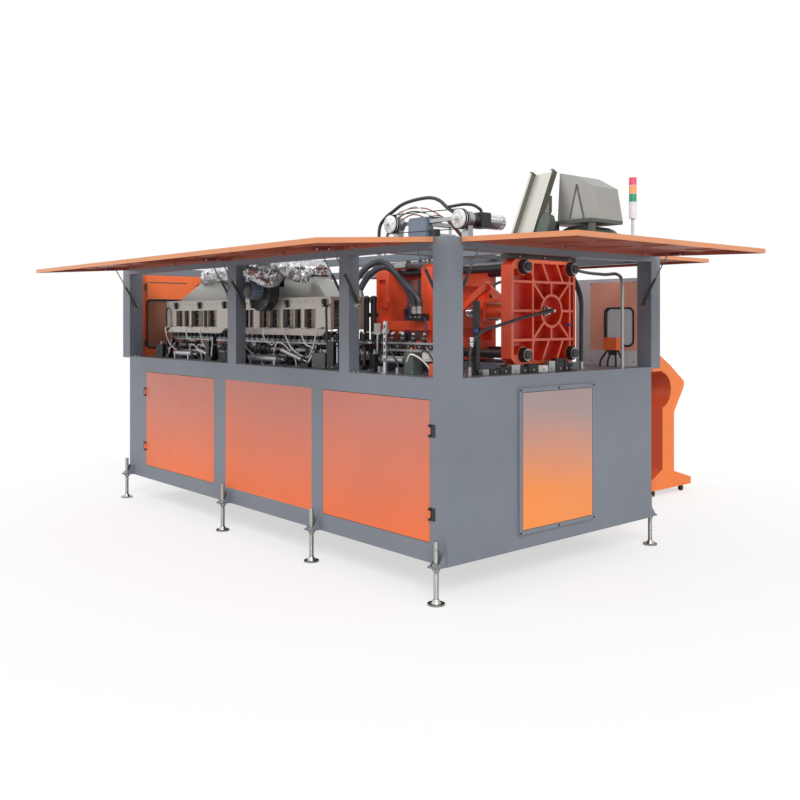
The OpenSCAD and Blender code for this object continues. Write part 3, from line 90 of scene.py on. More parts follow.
class Graph:
    """Node graph of one finish, built round its Principled shader."""

    def __init__(self, name: str) -> None:
        """Starts an empty finish.

        Args:
            name: the finish's name.
        """
        self.material = bpy.data.materials.new(name)
        self.material.use_nodes = True
        tree = self.material.node_tree
        self.nodes = tree.nodes
        self.join = tree.links.new
        self.shader = self.nodes["Principled BSDF"]
        self.place = self.nodes.new("ShaderNodeTexCoord")

    def fix(self, **values: float | tuple[float, ...]) -> None:
        """Sets plain values on the shader's own sockets, named with underscores for spaces."""
        for name, value in values.items():
            self.shader.inputs[name.replace("_", " ")].default_value = value

    def feed(self, name: str, source: bpy.types.NodeSocket) -> None:
        """Links a source to one of the shader's sockets."""
        self.join(source, self.shader.inputs[name])

    def pattern(self, kind: str, scale: float, stretch: Point) -> bpy.types.Node:
        """Adds a texture node fixed to the machine.

        Args:
            kind: the texture's node type.
            scale: repeats a metre.
            stretch: factor on the scale along each axis.

        Returns:
            The texture node.
        """
        mapping = self.nodes.new("ShaderNodeMapping")
        mapping.inputs["Scale"].default_value = stretch
        self.join(self.place.outputs["Object"], mapping.inputs["Vector"])
        texture = self.nodes.new(kind)
        texture.inputs["Scale"].default_value = scale
        self.join(mapping.outputs["Vector"], texture.inputs["Vector"])
        return texture

    def noise(self, scale: float, stretch: Point = (1, 1, 1), detail: float = 3.0) -> bpy.types.NodeSocket:
        """Adds a cloud pattern.

        Args:
            scale: repeats a metre.
            stretch: factor on the scale along each axis.
            detail: octaves of finer pattern.

        Returns:
            The pattern, from 0 to 1.
        """
        cloud = self.pattern("ShaderNodeTexNoise", scale, stretch)
        cloud.inputs["Detail"].default_value = detail
        return cloud.outputs["Fac"]

    def creases(self, scale: float, stretch: Point) -> bpy.types.NodeSocket:
        """Gives a pattern of flat facets for foil."""
        return self.pattern("ShaderNodeTexVoronoi", scale, stretch).outputs["Distance"]

    def clouds(self, scale: float, detail: float) -> bpy.types.NodeSocket:
        """Gives a cloud pattern whose middle levels fill 0 to 1."""
        return self.spread(self.noise(scale, detail=detail), MIDDLE, (0, 1))

    def paint(self, share: bpy.types.NodeSocket, first: object, second: object) -> None:
        """Feeds the shader a base colour mixed from two."""
        self.feed("Base Color", self.blend(share, first, second))

    def polish(self, source: bpy.types.NodeSocket, middle: float, less: float, more: float) -> None:
        """Runs the roughness from below to above a middle value as a pattern grows."""
        self.feed("Roughness", self.spread(source, MIDDLE, (middle - less, middle + more)))

    def spread(self, source: bpy.types.NodeSocket, span: Pair, to: Pair) -> bpy.types.NodeSocket:
        """Maps a source's span onto another, held at its ends.

        Args:
            source: the value to map.
            span: its lowest and highest value.
            to: what those become.

        Returns:
            The mapped value.
        """
        reach = self.nodes.new("ShaderNodeMapRange")
        for name, value in zip(("From Min", "From Max", "To Min", "To Max"), (*span, *to)):
            reach.inputs[name].default_value = value
        self.join(source, reach.inputs["Value"])
        return reach.outputs["Result"]

    def along(self, axis: int, low: float, high: float) -> bpy.types.NodeSocket:
        """Gives a ramp along one of the machine's axes.

        Args:
            axis: the axis, as 0, 1 or 2.
            low: where it starts, in millimetres.
            high: where it ends, in millimetres.

        Returns:
            The ramp, from 0 to 1.
        """
        parts = self.nodes.new("ShaderNodeSeparateXYZ")
        self.join(self.place.outputs["Object"], parts.inputs["Vector"])
        return self.spread(parts.outputs[axis], (low * MM, high * MM), (0, 1))

    def blend(self, share: bpy.types.NodeSocket, first: object, second: object) -> bpy.types.NodeSocket:
        """Mixes two colours.

        Args:
            share: how much of the second colour shows.
            first: a colour, or a socket that gives one.
            second: a colour, or a socket that gives one.

        Returns:
            The mixed colour.
        """
        mix = self.nodes.new("ShaderNodeMix")
        mix.data_type = "RGBA"
        self.join(share, mix.inputs[0])
        for socket, colour in ((mix.inputs[6], first), (mix.inputs[7], second)):
            if isinstance(colour, tuple):
                socket.default_value = colour
            else:
                self.join(colour, socket)
        return mix.outputs[2]

    def relief(self, height: bpy.types.NodeSocket, depth: float, strength: float = 1.0) -> None:
        """Raises the surface by a pattern.

        Args:
            height: the pattern.
            depth: its height in millimetres.
            strength: share of it that shows.
        """
        bump = self.nodes.new("ShaderNodeBump")
        bump.inputs["Distance"].default_value = depth * MM
        bump.inputs["Strength"].default_value = strength
        self.join(height, bump.inputs["Height"])
        self.feed("Normal", bump.outputs["Normal"])


class Grain(Enum):
    """Direction in which a bare metal was worked."""

    ALONG = (1, 22, 22)
    UPRIGHT = (22, 22, 1)
    EVEN = (3, 3, 3)


@dataclass(frozen=True)
class Finish:
    """A finish that is made once and then shared."""

    name: str
    chip: Chip

    def graph(self) -> Graph:
        """Builds the finish's node graph."""
        raise NotImplementedError

    def material(self) -> bpy.types.Material:
        """Gives the finish's material, made at its first use."""
        return bpy.data.materials.get(self.name) or self.graph().material


@dataclass(frozen=True)
class PowderCoat(Finish):
    """Sprayed and baked paint with slight clouds of tone and orange peel, and, where given, a painted
    reflection that turns it greyer towards its top.
    """

    roughness: float = 0.42
    cloud: float = 0.07
    painted_reflection: Chip | None = None
    painted_reflection_span: Pair = (310, 1100)
    peel: float = 0.05

    def graph(self) -> Graph:
        """Builds the paint, with a painted reflection that turns it towards a greyer tint at its top edge
        where one is given.

        Returns:
            The graph, with its shader set.
        """
        g = Graph(self.name)
        dark, light = linear(self.chip, 1 - self.cloud), linear(self.chip, 1 + self.cloud)
        colour = g.blend(g.clouds(1.6, 4), dark, light)
        # painted reflection: the colour runs towards a greyer tint going up, standing for the surroundings
        # mirrored in the paint
        if self.painted_reflection:
            height = g.along(2, *self.painted_reflection_span)
            shift = g.nodes.new("ShaderNodeMath")
            shift.operation = "MULTIPLY_ADD"
            g.join(g.noise(1.1, detail=1), shift.inputs[0])
            shift.inputs[1].default_value = 0.5
            g.join(height, shift.inputs[2])
            share = g.spread(shift.outputs[0], (0.25, 1.15), (0, 1))
            colour = g.blend(share, colour, linear(self.painted_reflection))
        dust = g.spread(g.noise(38, detail=6), (0.55, 0.8), (0, 0.16))
        g.paint(dust, colour, linear(self.chip, 0.72))
        g.polish(g.noise(7), self.roughness, 0.07, 0.09)
        g.relief(g.noise(520, detail=2), self.peel, 0.35)
        g.fix(Coat_Weight=0.15, Coat_Roughness=0.3)
        return g


@dataclass(frozen=True)
class CastEnamel(Finish):
    """Thick gloss enamel over sand-cast iron."""

    roughness: float = 0.34

    def graph(self) -> Graph:
        """Builds the enamel with the casting's lumps under it.

        Returns:
            The graph, with its shader set.
        """
        g = Graph(self.name)
        colour = g.blend(g.clouds(5, 5), linear(self.chip, 0.88), linear(self.chip, 1.1))
        grime = g.spread(g.noise(24, detail=7), (0.56, 0.78), (0, 0.35))
        g.paint(grime, colour, linear(self.chip, 0.45))
        g.polish(g.noise(16), self.roughness, 0.08, 0.14)
        g.relief(g.noise(110, detail=5), 0.35, 0.5)
        g.fix(Coat_Weight=0.3, Coat_Roughness=0.18)
        return g


@dataclass(frozen=True)
class BareMetal(Finish):
    """Metal with no paint: brushed, milled, turned or plated."""

    roughness: float = 0.32
    grain: Grain = Grain.EVEN
    stain: float = 0.2
    metallic: float = 1.0

    def graph(self) -> Graph:
        """Builds the metal with its working marks and stains.

        Returns:
            The graph, with its shader set.
        """
        g = Graph(self.name)
        marks = g.noise(26, self.grain.value, 6)
        tone = g.spread(marks, (0.25, 0.75), (0, 1))
        colour = g.blend(tone, linear(self.chip, 0.82), linear(self.chip, 1.12))
        stains = g.spread(g.noise(6, detail=6), (0.52, 0.75), (0, self.stain))
        g.paint(stains, colour, linear(self.chip, 0.4))
        g.feed("Roughness", g.spread(marks, (0.2, 0.8), (self.roughness - 0.08, self.roughness + 0.12)))
        g.relief(marks, 0.04, 0.3)
        g.fix(Metallic=self.metallic)
        return g


@dataclass(frozen=True)
class Foil(Finish):
    """Aluminium foil crumpled by hand."""

    def graph(self) -> Graph:
        """Builds bright foil with sharp creases.

        Returns:
            The graph, with its shader set.
        """
        g = Graph(self.name)
        folds = g.creases(34, (0.7, 1, 1))
        g.paint(g.clouds(30, 6), linear(self.chip, 0.55), linear(self.chip, 1.15))
        g.polish(g.noise(22), 0.3, 0.12, 0.12)
        g.relief(folds, 9.0, 0.9)
        g.fix(Metallic=1.0)
        return g


@dataclass(frozen=True)
class Rubber(Finish):
    """Hose and cable covers, and moulded plastic housings."""

    roughness: float = 0.5
    weave: float = 0.06

    def graph(self) -> Graph:
        """Builds the cover with its wrap marks and dust.

        Returns:
            The graph, with its shader set.
        """
        g = Graph(self.name)
        g.paint(g.clouds(14, 4), linear(self.chip, 0.75), linear(self.chip, 1.35))
        g.polish(g.noise(40), self.roughness, 0.1, 0.12)
        g.relief(g.noise(650, detail=1), self.weave, 0.5)
        return g


@dataclass(frozen=True)
class ClearSheet(Finish):
    """Polycarbonate or coloured lens that lets light through."""

    alpha: float = 0.35
    glow: float = 0.0

    def graph(self) -> Graph:
        """Builds the sheet with faint smears.

        Returns:
            The graph, with its shader set.
        """
        g = Graph(self.name)
        smear = g.spread(g.noise(5, (1, 1, 0.3), 5), (0.35, 0.7), (0, 1))
        g.paint(smear, linear(self.chip), linear(self.chip, 1.2))
        g.feed("Roughness", g.spread(smear, (0, 1), (0.08, 0.22)))
        g.fix(Alpha=self.alpha, Emission_Color=linear(self.chip), Emission_Strength=self.glow)
        return g


FRAME_GREY = PowderCoat("frame_grey", (118, 125, 135))
# the door and service door colours carry a painted reflection: they turn towards a greyer tint at the top
DOOR_ORANGE = PowderCoat("door_orange", (238, 112, 54), roughness=0.36, painted_reflection=(200, 121, 104))
SERVICE_ORANGE = PowderCoat(
    "service_orange", (255, 146, 66), roughness=0.36, painted_reflection=(168, 146, 146), painted_reflection_span=(520, 1060)
)
GUARD_ORANGE = PowderCoat("guard_orange", (244, 116, 56))
CONSOLE_ORANGE = PowderCoat("console_orange", (244, 124, 46))
# painted shade: a darker copy of the console orange for the recess on its far side
CONSOLE_SHADE = PowderCoat("console_recess_painted_shade", (200, 84, 46))
FLAP_ORANGE = PowderCoat("flap_orange", (222, 144, 96), roughness=0.36)
# painted shade: a darker orange for the flaps' undersides and channels, where shade falls under them
FLAP_UNDER_SHADE = PowderCoat("flap_underside_painted_shade", (164, 84, 62), roughness=0.5)
# painted light: the rear guard's orange and grey are set much paler than their paint so they read bright
# though they stand in shade
REAR_ORANGE_PAINTED_LIGHT = PowderCoat("rear_orange_painted_light", (255, 182, 158))
REAR_GREY_PAINTED_LIGHT = PowderCoat("rear_grey_painted_light", (226, 229, 235))
BRACKET_RED = PowderCoat("bracket_red", (132, 58, 60))
BROWN_TRIM = PowderCoat("brown_trim", (92, 86, 78))
DARK_BROWN = PowderCoat("dark_brown_bar", (66, 52, 44))
CAST_RED = CastEnamel("cast_red", (240, 86, 48))
# painted highlight and painted shade on the end platen: paler enamel on its outer rib edges, darker enamel on
# its recess floors and rib walls
CAST_EDGE_HIGHLIGHT = CastEnamel("cast_rib_edge_painted_highlight", (252, 112, 74))
CAST_DEEP_SHADE = CastEnamel("cast_recess_painted_shade", (206, 48, 32))
CAST_WALL_SHADE = CastEnamel("cast_rib_wall_painted_shade", (226, 62, 38))
STAINLESS = BareMetal("stainless_sheet", (188, 182, 175), 0.34, Grain.ALONG, 0.12, 0.75)
# painted light: the cooling tray under the ovens is made near white and barely metallic so it reads bright
# though it lies in shadow
TRAY_SHEET_PAINTED_LIGHT = BareMetal("tray_sheet_painted_light", (240, 239, 235), 0.4, Grain.ALONG, 0.1, 0.15)
CHUTE_SHEET = BareMetal("chute_sheet", (212, 209, 200), 0.4, Grain.UPRIGHT, 0.1, 0.5)
HOOD_SHEET = BareMetal("hood_sheet", (164, 163, 158), 0.38, Grain.UPRIGHT, 0.1, 0.7)
MILLED = BareMetal("milled_steel", (178, 180, 183), 0.34, Grain.ALONG, 0.3)
TABLE_STEEL = BareMetal("table_steel", (150, 154, 160), 0.4, Grain.ALONG, 0.35)
ZINC = BareMetal("zinc_plate", (176, 178, 174), 0.36, Grain.EVEN, 0.3)
CHROME = BareMetal("chrome_rod", (215, 216, 220), 0.14, Grain.ALONG, 0.05)
STRUT_ROD = BareMetal("strut_rod", (112, 114, 120), 0.2, Grain.ALONG, 0.05)
ALLOY = BareMetal("cast_alloy", (190, 193, 198), 0.42, Grain.EVEN, 0.2)
BRASS = BareMetal("brass_fitting", (196, 160, 96), 0.3, Grain.EVEN, 0.2)
BLACK_STEEL = PowderCoat("black_steel", (38, 38, 41), roughness=0.38)
DARK_GREEN = PowderCoat("machine_green", (74, 84, 78))
BLUE_GREY = PowderCoat("motor_blue_grey", (116, 130, 148))
OLIVE = PowderCoat("olive_bar", (84, 84, 70))
FOIL = Foil("crumpled_foil", (214, 214, 216))
HOSE_BLACK = Rubber("hose_rubber", (52, 53, 58), 0.42)
PLASTIC_BLACK = Rubber("black_plastic", (28, 28, 30), 0.45)
PLASTIC_WHITE = Rubber("white_plastic", (232, 230, 224), 0.4)
TUBE_BLUE = Rubber("blue_tube", (40, 70, 140), 0.35)
CABLE_RED = Rubber("red_brown_cable", (150, 70, 60), 0.45)
CABLE_CREAM = Rubber("cream_cable", (232, 228, 216), 0.45)
CERAMIC = Rubber("lamp_ceramic", (138, 126, 110), 0.6)
WINDOW = ClearSheet("smoked_window", (128, 134, 142), 0.62)
BROWN_WINDOW = ClearSheet("brown_window", (140, 74, 42), 0.88)
HOOD_PANE = ClearSheet("hood_pane", (172, 173, 168), 0.86)
QUARTZ = ClearSheet("quartz_tube", (228, 214, 190), 0.7)
SCREEN = ClearSheet("touch_screen", (20, 26, 34), 1.0)
LENS_WHITE = ClearSheet("lens_white", (226, 222, 226), 0.92, 0.1)
LENS_GREEN = ClearSheet("lens_green", (40, 150, 104), 0.92, 0.12)
LENS_AMBER = ClearSheet("lens_amber", (236, 160, 104), 0.92, 0.15)
LENS_RED = ClearSheet("lens_red", (214, 84, 112), 0.92, 0.15)


def dress(finish: Finish, *nodes: str) -> None:
    """Gives CAD nodes one finish all over.

    Args:
        finish: the finish.
        nodes: names of the CAD nodes.
    """
    for name in nodes:
        slots = bpy.data.objects[name].data.materials
        slots.clear()
        slots.append(finish.material())


def dress_faces(node: str, finishes: Sequence[Finish], pick: Callable[[Vector, Vector], int]) -> None:
    """Gives the faces of a CAD node different finishes.

    Args:
        node: the CAD node.
        finishes: the finishes to choose from.
        pick: takes a face's middle in millimetres and its normal, and gives the finish's index.
    """
    mesh = bpy.data.objects[node].data
    mesh.materials.clear()
    for finish in finishes:
        mesh.materials.append(finish.material())
    for face in mesh.polygons:
        face.material_index = pick(face.center / MM, face.normal)


def smooth_route(points: Sequence[Point], steps: int) -> list[Vector]:
    """Runs a Catmull-Rom curve through points.

    Args:
        points: places that the curve passes.
        steps: points on each stretch.

    Returns:
        The points of the curve.
    """
    p = [Vector(q) for q in points]
    route: list[Vector] = []
    for i in range(len(p) - 1):
        a, b, c, d = p[max(i - 1, 0)], p[i], p[i + 1], p[min(i + 2, len(p) - 1)]
        for k in range(steps):
            t = k / steps
            bend, swing = 2 * a - 5 * b + 4 * c - d, 3 * b - a - 3 * c + d
            route.append(0.5 * (2 * b + (c - a) * t + bend * t**2 + swing * t**3))
    return [*route, p[-1]]


def ring_faces(rows: int, sides: int, closed: bool = False) -> list[tuple[int, ...]]:
    """Gives the faces of a skin over rings of points.

    Args:
        rows: number of rings.
        sides: points in each ring.
        closed: whether the last ring joins the first, or both ends get a flat cap.

    Returns:
        Each face's point numbers.
    """
    faces = []
    for i in range(rows if closed else rows - 1):
        a, b = i * sides, (i + 1) % rows * sides
        for k in range(sides):
            j = (k + 1) % sides
            faces.append((a + k, a + j, b + j, b + k))
    if not closed:
        last = (rows - 1) * sides
        faces += [tuple(range(sides)), tuple(range(last + sides - 1, last - 1, -1))]
    return faces


def circle(radius: float, count: int, first: float = 0.0) -> list[Pair]:
    """Gives points evenly spaced on a circle, the first one at an angle in degrees."""
    angles = [math.radians(first + 360 / count * k) for k in range(count)]
    return [(radius * math.cos(a), radius * math.sin(a)) for a in angles]


class Blank:
    """One piece in the making: shapes in millimetres, each in one of the piece's finishes."""

    def __init__(self, name: str, *finishes: Finish) -> None:
        """Starts an empty piece.

        Args:
            name: the piece's name.
            finishes: what its shapes may be dressed in; a shape's kind is an index in this list.
        """
        self.name = name
        self.finishes = finishes
        self.points: list[Vector] = []
        self.faces: list[tuple[int, ...]] = []
        self.kinds: list[int] = []
        self.turn = Matrix.Identity(4)

    def add(self, points: Iterable[Sequence[float]], faces: Iterable[Sequence[int]], kind: int) -> None:
        """Adds raw points and faces in the piece's present frame.

        Args:
            points: the points.
            faces: each face's point numbers, counted from the first of these points.
            kind: index of their finish.
        """
        start = len(self.points)
        self.points.extend(self.turn @ Vector(p) for p in points)
        for face in faces:
            self.faces.append(tuple(start + i for i in face))
            self.kinds.append(kind)

    def block(self, low: Point, high: Point, kind: int = 0) -> None:
        """Adds a block.

        Args:
            low: its lowest corner.
            high: its highest corner.
            kind: index of its finish.
        """
        (x0, y0, z0), (x1, y1, z1) = low, high
        points = [(x, y, z) for z in (z0, z1) for y in (y0, y1) for x in (x0, x1)]
        faces = ((0, 1, 3, 2), (4, 6, 7, 5), (0, 4, 5, 1), (2, 3, 7, 6), (0, 2, 6, 4), (1, 5, 7, 3))
        self.add(points, faces, kind)

    def plate(self, outline: Sequence[Pair], plane: str, low: float, high: float, kind: int = 0) -> None:
        """Adds a flat plate.

        Args:
            outline: its corners in the plane.
            plane: the two axes of the plane, such as "xz"; the plate is thick along the third.
            low: where the plate's thickness starts.
            high: where it ends.
            kind: index of its finish.
        """
        order = ["xyz".index(c) for c in plane]
        third = 3 - sum(order)
        points = []
        for depth in (low, high):
            for corner in outline:
                spot = [0.0, 0.0, 0.0]
                spot[order[0]], spot[order[1]], spot[third] = corner[0], corner[1], depth
                points.append(spot)
        n = len(outline)
        sides = [(i, (i + 1) % n, n + (i + 1) % n, n + i) for i in range(n)]
        self.add(points, [*sides, tuple(range(n)), tuple(range(2 * n - 1, n - 1, -1))], kind)

    @staticmethod
    def rings(rows: Iterable[tuple[Vector, Vector, Vector, float]], sides: int) -> list[Vector]:
        """Places points on round rings.

        Args:
            rows: each ring's middle, its two axes and its radius.
            sides: points in each ring.

        Returns:
            The points, ring by ring.
        """
        turns = [2 * math.pi * k / sides for k in range(sides)]
        return [
            middle + (side * math.cos(angle) + other * math.sin(angle)) * radius
            for middle, side, other, radius in rows
            for angle in turns
        ]

    def turned(self, at: Point, way: Point, profile: Sequence[Pair], kind: int = 0, sides: int = 24) -> None:
        """Adds a turned shape.

        Args:
            at: first point of its axis.
            way: the axis's direction.
            profile: distance along the axis and radius of each ring.
            kind: index of its finish.
            sides: points round each ring.
        """
        start, along = Vector(at), Vector(way).normalized()
        side = along.orthogonal().normalized()
        other = along.cross(side)
        rows = [(start + along * far, side, other, radius) for far, radius in profile]
        self.add(self.rings(rows, sides), ring_faces(len(profile), sides), kind)

    def rod(self, start: Point, end: Point, radius: float, kind: int = 0, sides: int = 20) -> None:
        """Adds a round bar with softened ends.

        Args:
            start: one end of its axis.
            end: the other end.
            radius: its radius.
            kind: index of its finish.
            sides: points round it.
        """
        way = Vector(end) - Vector(start)
        far, soft = way.length, min(radius * 0.12, way.length * 0.2)
        profile = [(0, radius - soft), (soft, radius), (far - soft, radius), (far, radius - soft)]
        self.turned(start, way, profile, kind, sides)

    def ring(self, at: Point, way: Point, inner: float, outer: float, high: float, kind: int = 0) -> None:
        """Adds a flat ring.

        Args:
            at: its middle.
            way: its axis's direction.
            inner: radius of its hole.
            outer: its outer radius.
            high: its thickness.
            kind: index of its finish.
        """
        n, sides = Vector(way), 28
        start = Vector(at) - n * (high / 2)
        side = n.orthogonal().normalized()
        corners = ((0, inner), (0, outer), (high, outer), (high, inner))
        rows = [(start + n * along, side, n.cross(side), radius) for along, radius in corners]
        self.add(self.rings(rows, sides), ring_faces(4, sides, closed=True), kind)

    def hose(
        self,
        points: Sequence[Point],
        radius: float,
        kind: int = 0,
        sides: int = 14,
        steps: int = 7,
        loop: bool = False,
    ) -> list[Vector]:
        """Adds a round hose through points.

        Args:
            points: places that its middle passes.
            radius: its outer radius.
            kind: index of its finish.
            sides: points round it.
            steps: rings on each stretch.
            loop: whether its last point joins its first.

        Returns:
            The points of its centreline.
        """
        if loop:
            route = smooth_route([points[-1], *points, points[0], points[1]], steps)[steps : -steps - 1]
        else:
            route = smooth_route(points, steps)
        last = len(route) - 1
        side: Vector | None = None
        rows = []
        for i, spot in enumerate(route):
            before = route[i - 1 if loop else max(i - 1, 0)]
            after = route[(i + 1) % len(route) if loop else min(i + 1, last)]
            way = (after - before).normalized()
            side = way.orthogonal() if side is None else side - way * side.dot(way)
            side.normalize()
            rows.append((spot, side.copy(), way.cross(side), radius))
        self.add(self.rings(rows, sides), ring_faces(len(rows), sides, loop), kind)
        return route

    def hexagon(self, at: Point, way: Point, across: float, high: float, kind: int = 0) -> None:
        """Adds a bolt head or nut that stands on a point along a direction."""
        r = across / math.sqrt(3)
        self.turned(at, way, [(0, r), (high * 0.85, r), (high, r * 0.86)], kind, 6)

    def settle(self, bevel: float = 0.0, body: str = "machine") -> bpy.types.Object:
        """Makes the mesh object, dresses it and lets it ride on a body.

        Args:
            bevel: width of the softened edges in millimetres, or 0 for none.
            body: the CAD body that carries it.

        Returns:
            The finished piece.
        """
        mesh = bpy.data.meshes.new(self.name)
        mesh.from_pydata([p * MM for p in self.points], [], self.faces)
        for finish in self.finishes:
            mesh.materials.append(finish.material())
        mesh.polygons.foreach_set("material_index", self.kinds)
        work = bmesh.new()
        work.from_mesh(mesh)
        bmesh.ops.recalc_face_normals(work, faces=work.faces)
        work.to_mesh(mesh)
        work.free()
        mesh.shade_smooth()
        mesh.set_sharp_from_angle(angle=CREASE)
        piece = bpy.data.objects.new(self.name, mesh)
        bpy.context.scene.collection.objects.link(piece)
        if bevel:
            soften = piece.modifiers.new("soft_edges", "BEVEL")
            soften.width = bevel * MM
            soften.segments = 2
            soften.limit_method = "ANGLE"
            soften.angle_limit = CORNER
            soften.harden_normals = True
        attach(piece, body)
        LOG.info("%s: %d faces on %s", self.name, len(mesh.polygons), body)
        return piece


@dataclass
class Studio:
    """Floor, lamps, sky and the photograph's camera."""

    eye: Point = (5.5503, -4.3704, 1.5505)
    heading: float = 49.13
    lens: float = 40.87
    shift: float = -0.102
    world_level: float = 0.72
    floor_half: float = 60.0
    floor_tone: float = 0.72
    floor_lift: float = 0.62

    @staticmethod
    def place(name: str, data: bpy.types.ID) -> bpy.types.Object:
        """Puts an object into the scene.

        Args:
            name: the object's name.
            data: its mesh, lamp or camera.

        Returns:
            The object.
        """
        thing = bpy.data.objects.new(name, data)
        bpy.context.scene.collection.objects.link(thing)
        return thing

    def camera(self) -> None:
        """Sets the camera at the photograph's viewing place."""
        data = bpy.data.cameras.new("photo_camera")
        data.lens, data.sensor_width = self.lens, 36.0
        data.shift_y = self.shift
        data.clip_end = 200
        camera = self.place("photo_camera", data)
        camera.location = self.eye
        camera.rotation_euler = (math.radians(90), 0, math.radians(self.heading))
        bpy.context.scene.camera = camera

    def floor(self) -> None:
        """Lays a white floor that still takes the machine's shadow."""
        mesh = bpy.data.meshes.new("floor")
        half = self.floor_half
        corners = [(-half, -half, 0), (half, -half, 0), (half, half, 0), (-half, half, 0)]
        mesh.from_pydata(corners, [], [range(4)])
        material = bpy.data.materials.new("white_floor")
        material.use_nodes = True
        nodes, join = material.node_tree.nodes, material.node_tree.links.new
        paint = nodes["Principled BSDF"]
        paint.inputs["Roughness"].default_value = 0.9
        paint.inputs["Specular IOR Level"].default_value = 0.0
        paint.inputs["Base Color"].default_value = (*(self.floor_tone,) * 3, 1)
        seen = nodes.new("ShaderNodeBsdfDiffuse")
        seen.inputs["Color"].default_value = (1, 1, 1, 1)
        glow = nodes.new("ShaderNodeEmission")
        glow.inputs["Strength"].default_value = 1.0
        lift, choose = nodes.new("ShaderNodeMixShader"), nodes.new("ShaderNodeMixShader")
        lift.inputs[0].default_value = self.floor_lift
        join(seen.outputs[0], lift.inputs[1])
        join(glow.outputs[0], lift.inputs[2])
        join(nodes.new("ShaderNodeLightPath").outputs["Is Camera Ray"], choose.inputs[0])
        join(paint.outputs[0], choose.inputs[1])
        join(lift.outputs[0], choose.inputs[2])
        join(choose.outputs[0], nodes["Material Output"].inputs["Surface"])
        mesh.materials.append(material)
        self.place("floor", mesh)

    def sky(self) -> None:
        """Lights the room evenly, and shows white to the camera, in metal and through glass."""
        world = bpy.data.worlds.new("studio")
        bpy.context.scene.world = world
        world.use_nodes = True
        nodes, join = world.node_tree.nodes, world.node_tree.links.new
        path = nodes.new("ShaderNodeLightPath")
        total = path.outputs["Is Camera Ray"]
        for name in ("Is Glossy Ray", "Is Transmission Ray"):
            add = nodes.new("ShaderNodeMath")
            add.operation = "MAXIMUM"
            join(total, add.inputs[0])
            join(path.outputs[name], add.inputs[1])
            total = add.outputs[0]
        level = nodes.new("ShaderNodeMapRange")
        level.inputs["To Min"].default_value = self.world_level
        level.inputs["To Max"].default_value = 1.0
        join(total, level.inputs["Value"])
        back = nodes["Background"]
        back.inputs["Color"].default_value = (1, 1, 1, 1)
        join(level.outputs["Result"], back.inputs["Strength"])

    def lamps(self) -> None:
        """Hangs the soft key lamp and a fill lamp."""
        for name, way, strength, spread in (
            ("key_lamp", (-0.70, 0.52, -0.62), 1.5, 24),
            ("fill_lamp", (0.5, 0.75, -0.5), 0.42, 50),
        ):
            data = bpy.data.lights.new(name, "SUN")
            data.energy, data.angle = strength, math.radians(spread)
            self.place(name, data).rotation_euler = Vector(way).to_track_quat("-Z", "Y").to_euler()

    def build(self) -> None:
        """Sets up the whole studio."""
        bpy.context.scene.view_settings.view_transform = "Standard"
        self.camera()
        self.floor()
        self.sky()
        self.lamps()


@dataclass
class Cabinet:
    """Base cabinet: welded frame, orange doors, levelling feet and the table on top."""

    feet_x: tuple[float, ...] = (-1960, -320, 797, 1960)
    foot_y: float = 1005
    threads: tuple[Pair, ...] = ((34, 183), (226, 338))
    thread_r: float = 13.2
    thread_deep: float = 1.6
    thread_pitch: float = 5
    service_y: Pair = (-388, 324)
    service_z: Pair = (285, 1143)
    wall_x: float = 2012

    def dress(self) -> None:
        """Paints the cabinet's CAD nodes."""
        dress(FRAME_GREY, "base_frame")
        dress(DOOR_ORANGE, "front_door_left", "front_door_right", "fixed_panels")
        dress(SERVICE_ORANGE, "service_door")
        dress(BLACK_STEEL, "door_hinges")
        dress(ZINC, "levelling_feet")
        dress_faces("table_plate", (TABLE_STEEL, FRAME_GREY), lambda _at, way: 0 if way.z > 0.5 else 1)

    def foot_threads(self) -> None:
        """Cuts the threads of the nine foot rods, with two washers on each; the middle rod has one thread."""
        piece = Blank("foot_threads", ZINC)
        outer = [(x, y, self.threads) for x in self.feet_x for y in (-self.foot_y, self.foot_y)]
        for x, y, threads in (*outer, (0, 0, self.threads[:1])):
            for low, high in threads:
                count = math.ceil((high - low) / self.thread_pitch)
                starts = [low + self.thread_pitch * k for k in range(count + 1)]
                crests = [(z + self.thread_pitch / 2, self.thread_r + self.thread_deep) for z in starts]
                roots = [(z, self.thread_r) for z in starts]
                profile = [spot for pair in zip(roots, crests) for spot in pair][:-1]
                piece.turned((x, y, 0), UP, profile, sides=16)
            piece.ring((x, y, 209.5), UP, 15, 26, 3)
            piece.ring((x, y, 198.5), UP, 15, 27, 3)
        piece.settle()

    def panel_bolts(self) -> None:
        """Puts button-head bolts round the service opening."""
        piece = Blank("panel_bolts", BLACK_STEEL)
        (y0, y1), (z0, z1), inset = self.service_y, self.service_z, 12
        for y in (y0 + inset, (y0 + y1) / 2, y1 - inset):
            for z in (z0 + inset, z1 - inset):
                piece.turned((self.wall_x, y, z), RIGHT, [(0, 7), (3, 7), (5, 4)], sides=14)
        piece.settle()

    def build(self) -> None:
        """Builds and dresses the cabinet."""
        self.dress()
        self.foot_threads()
        self.panel_bolts()


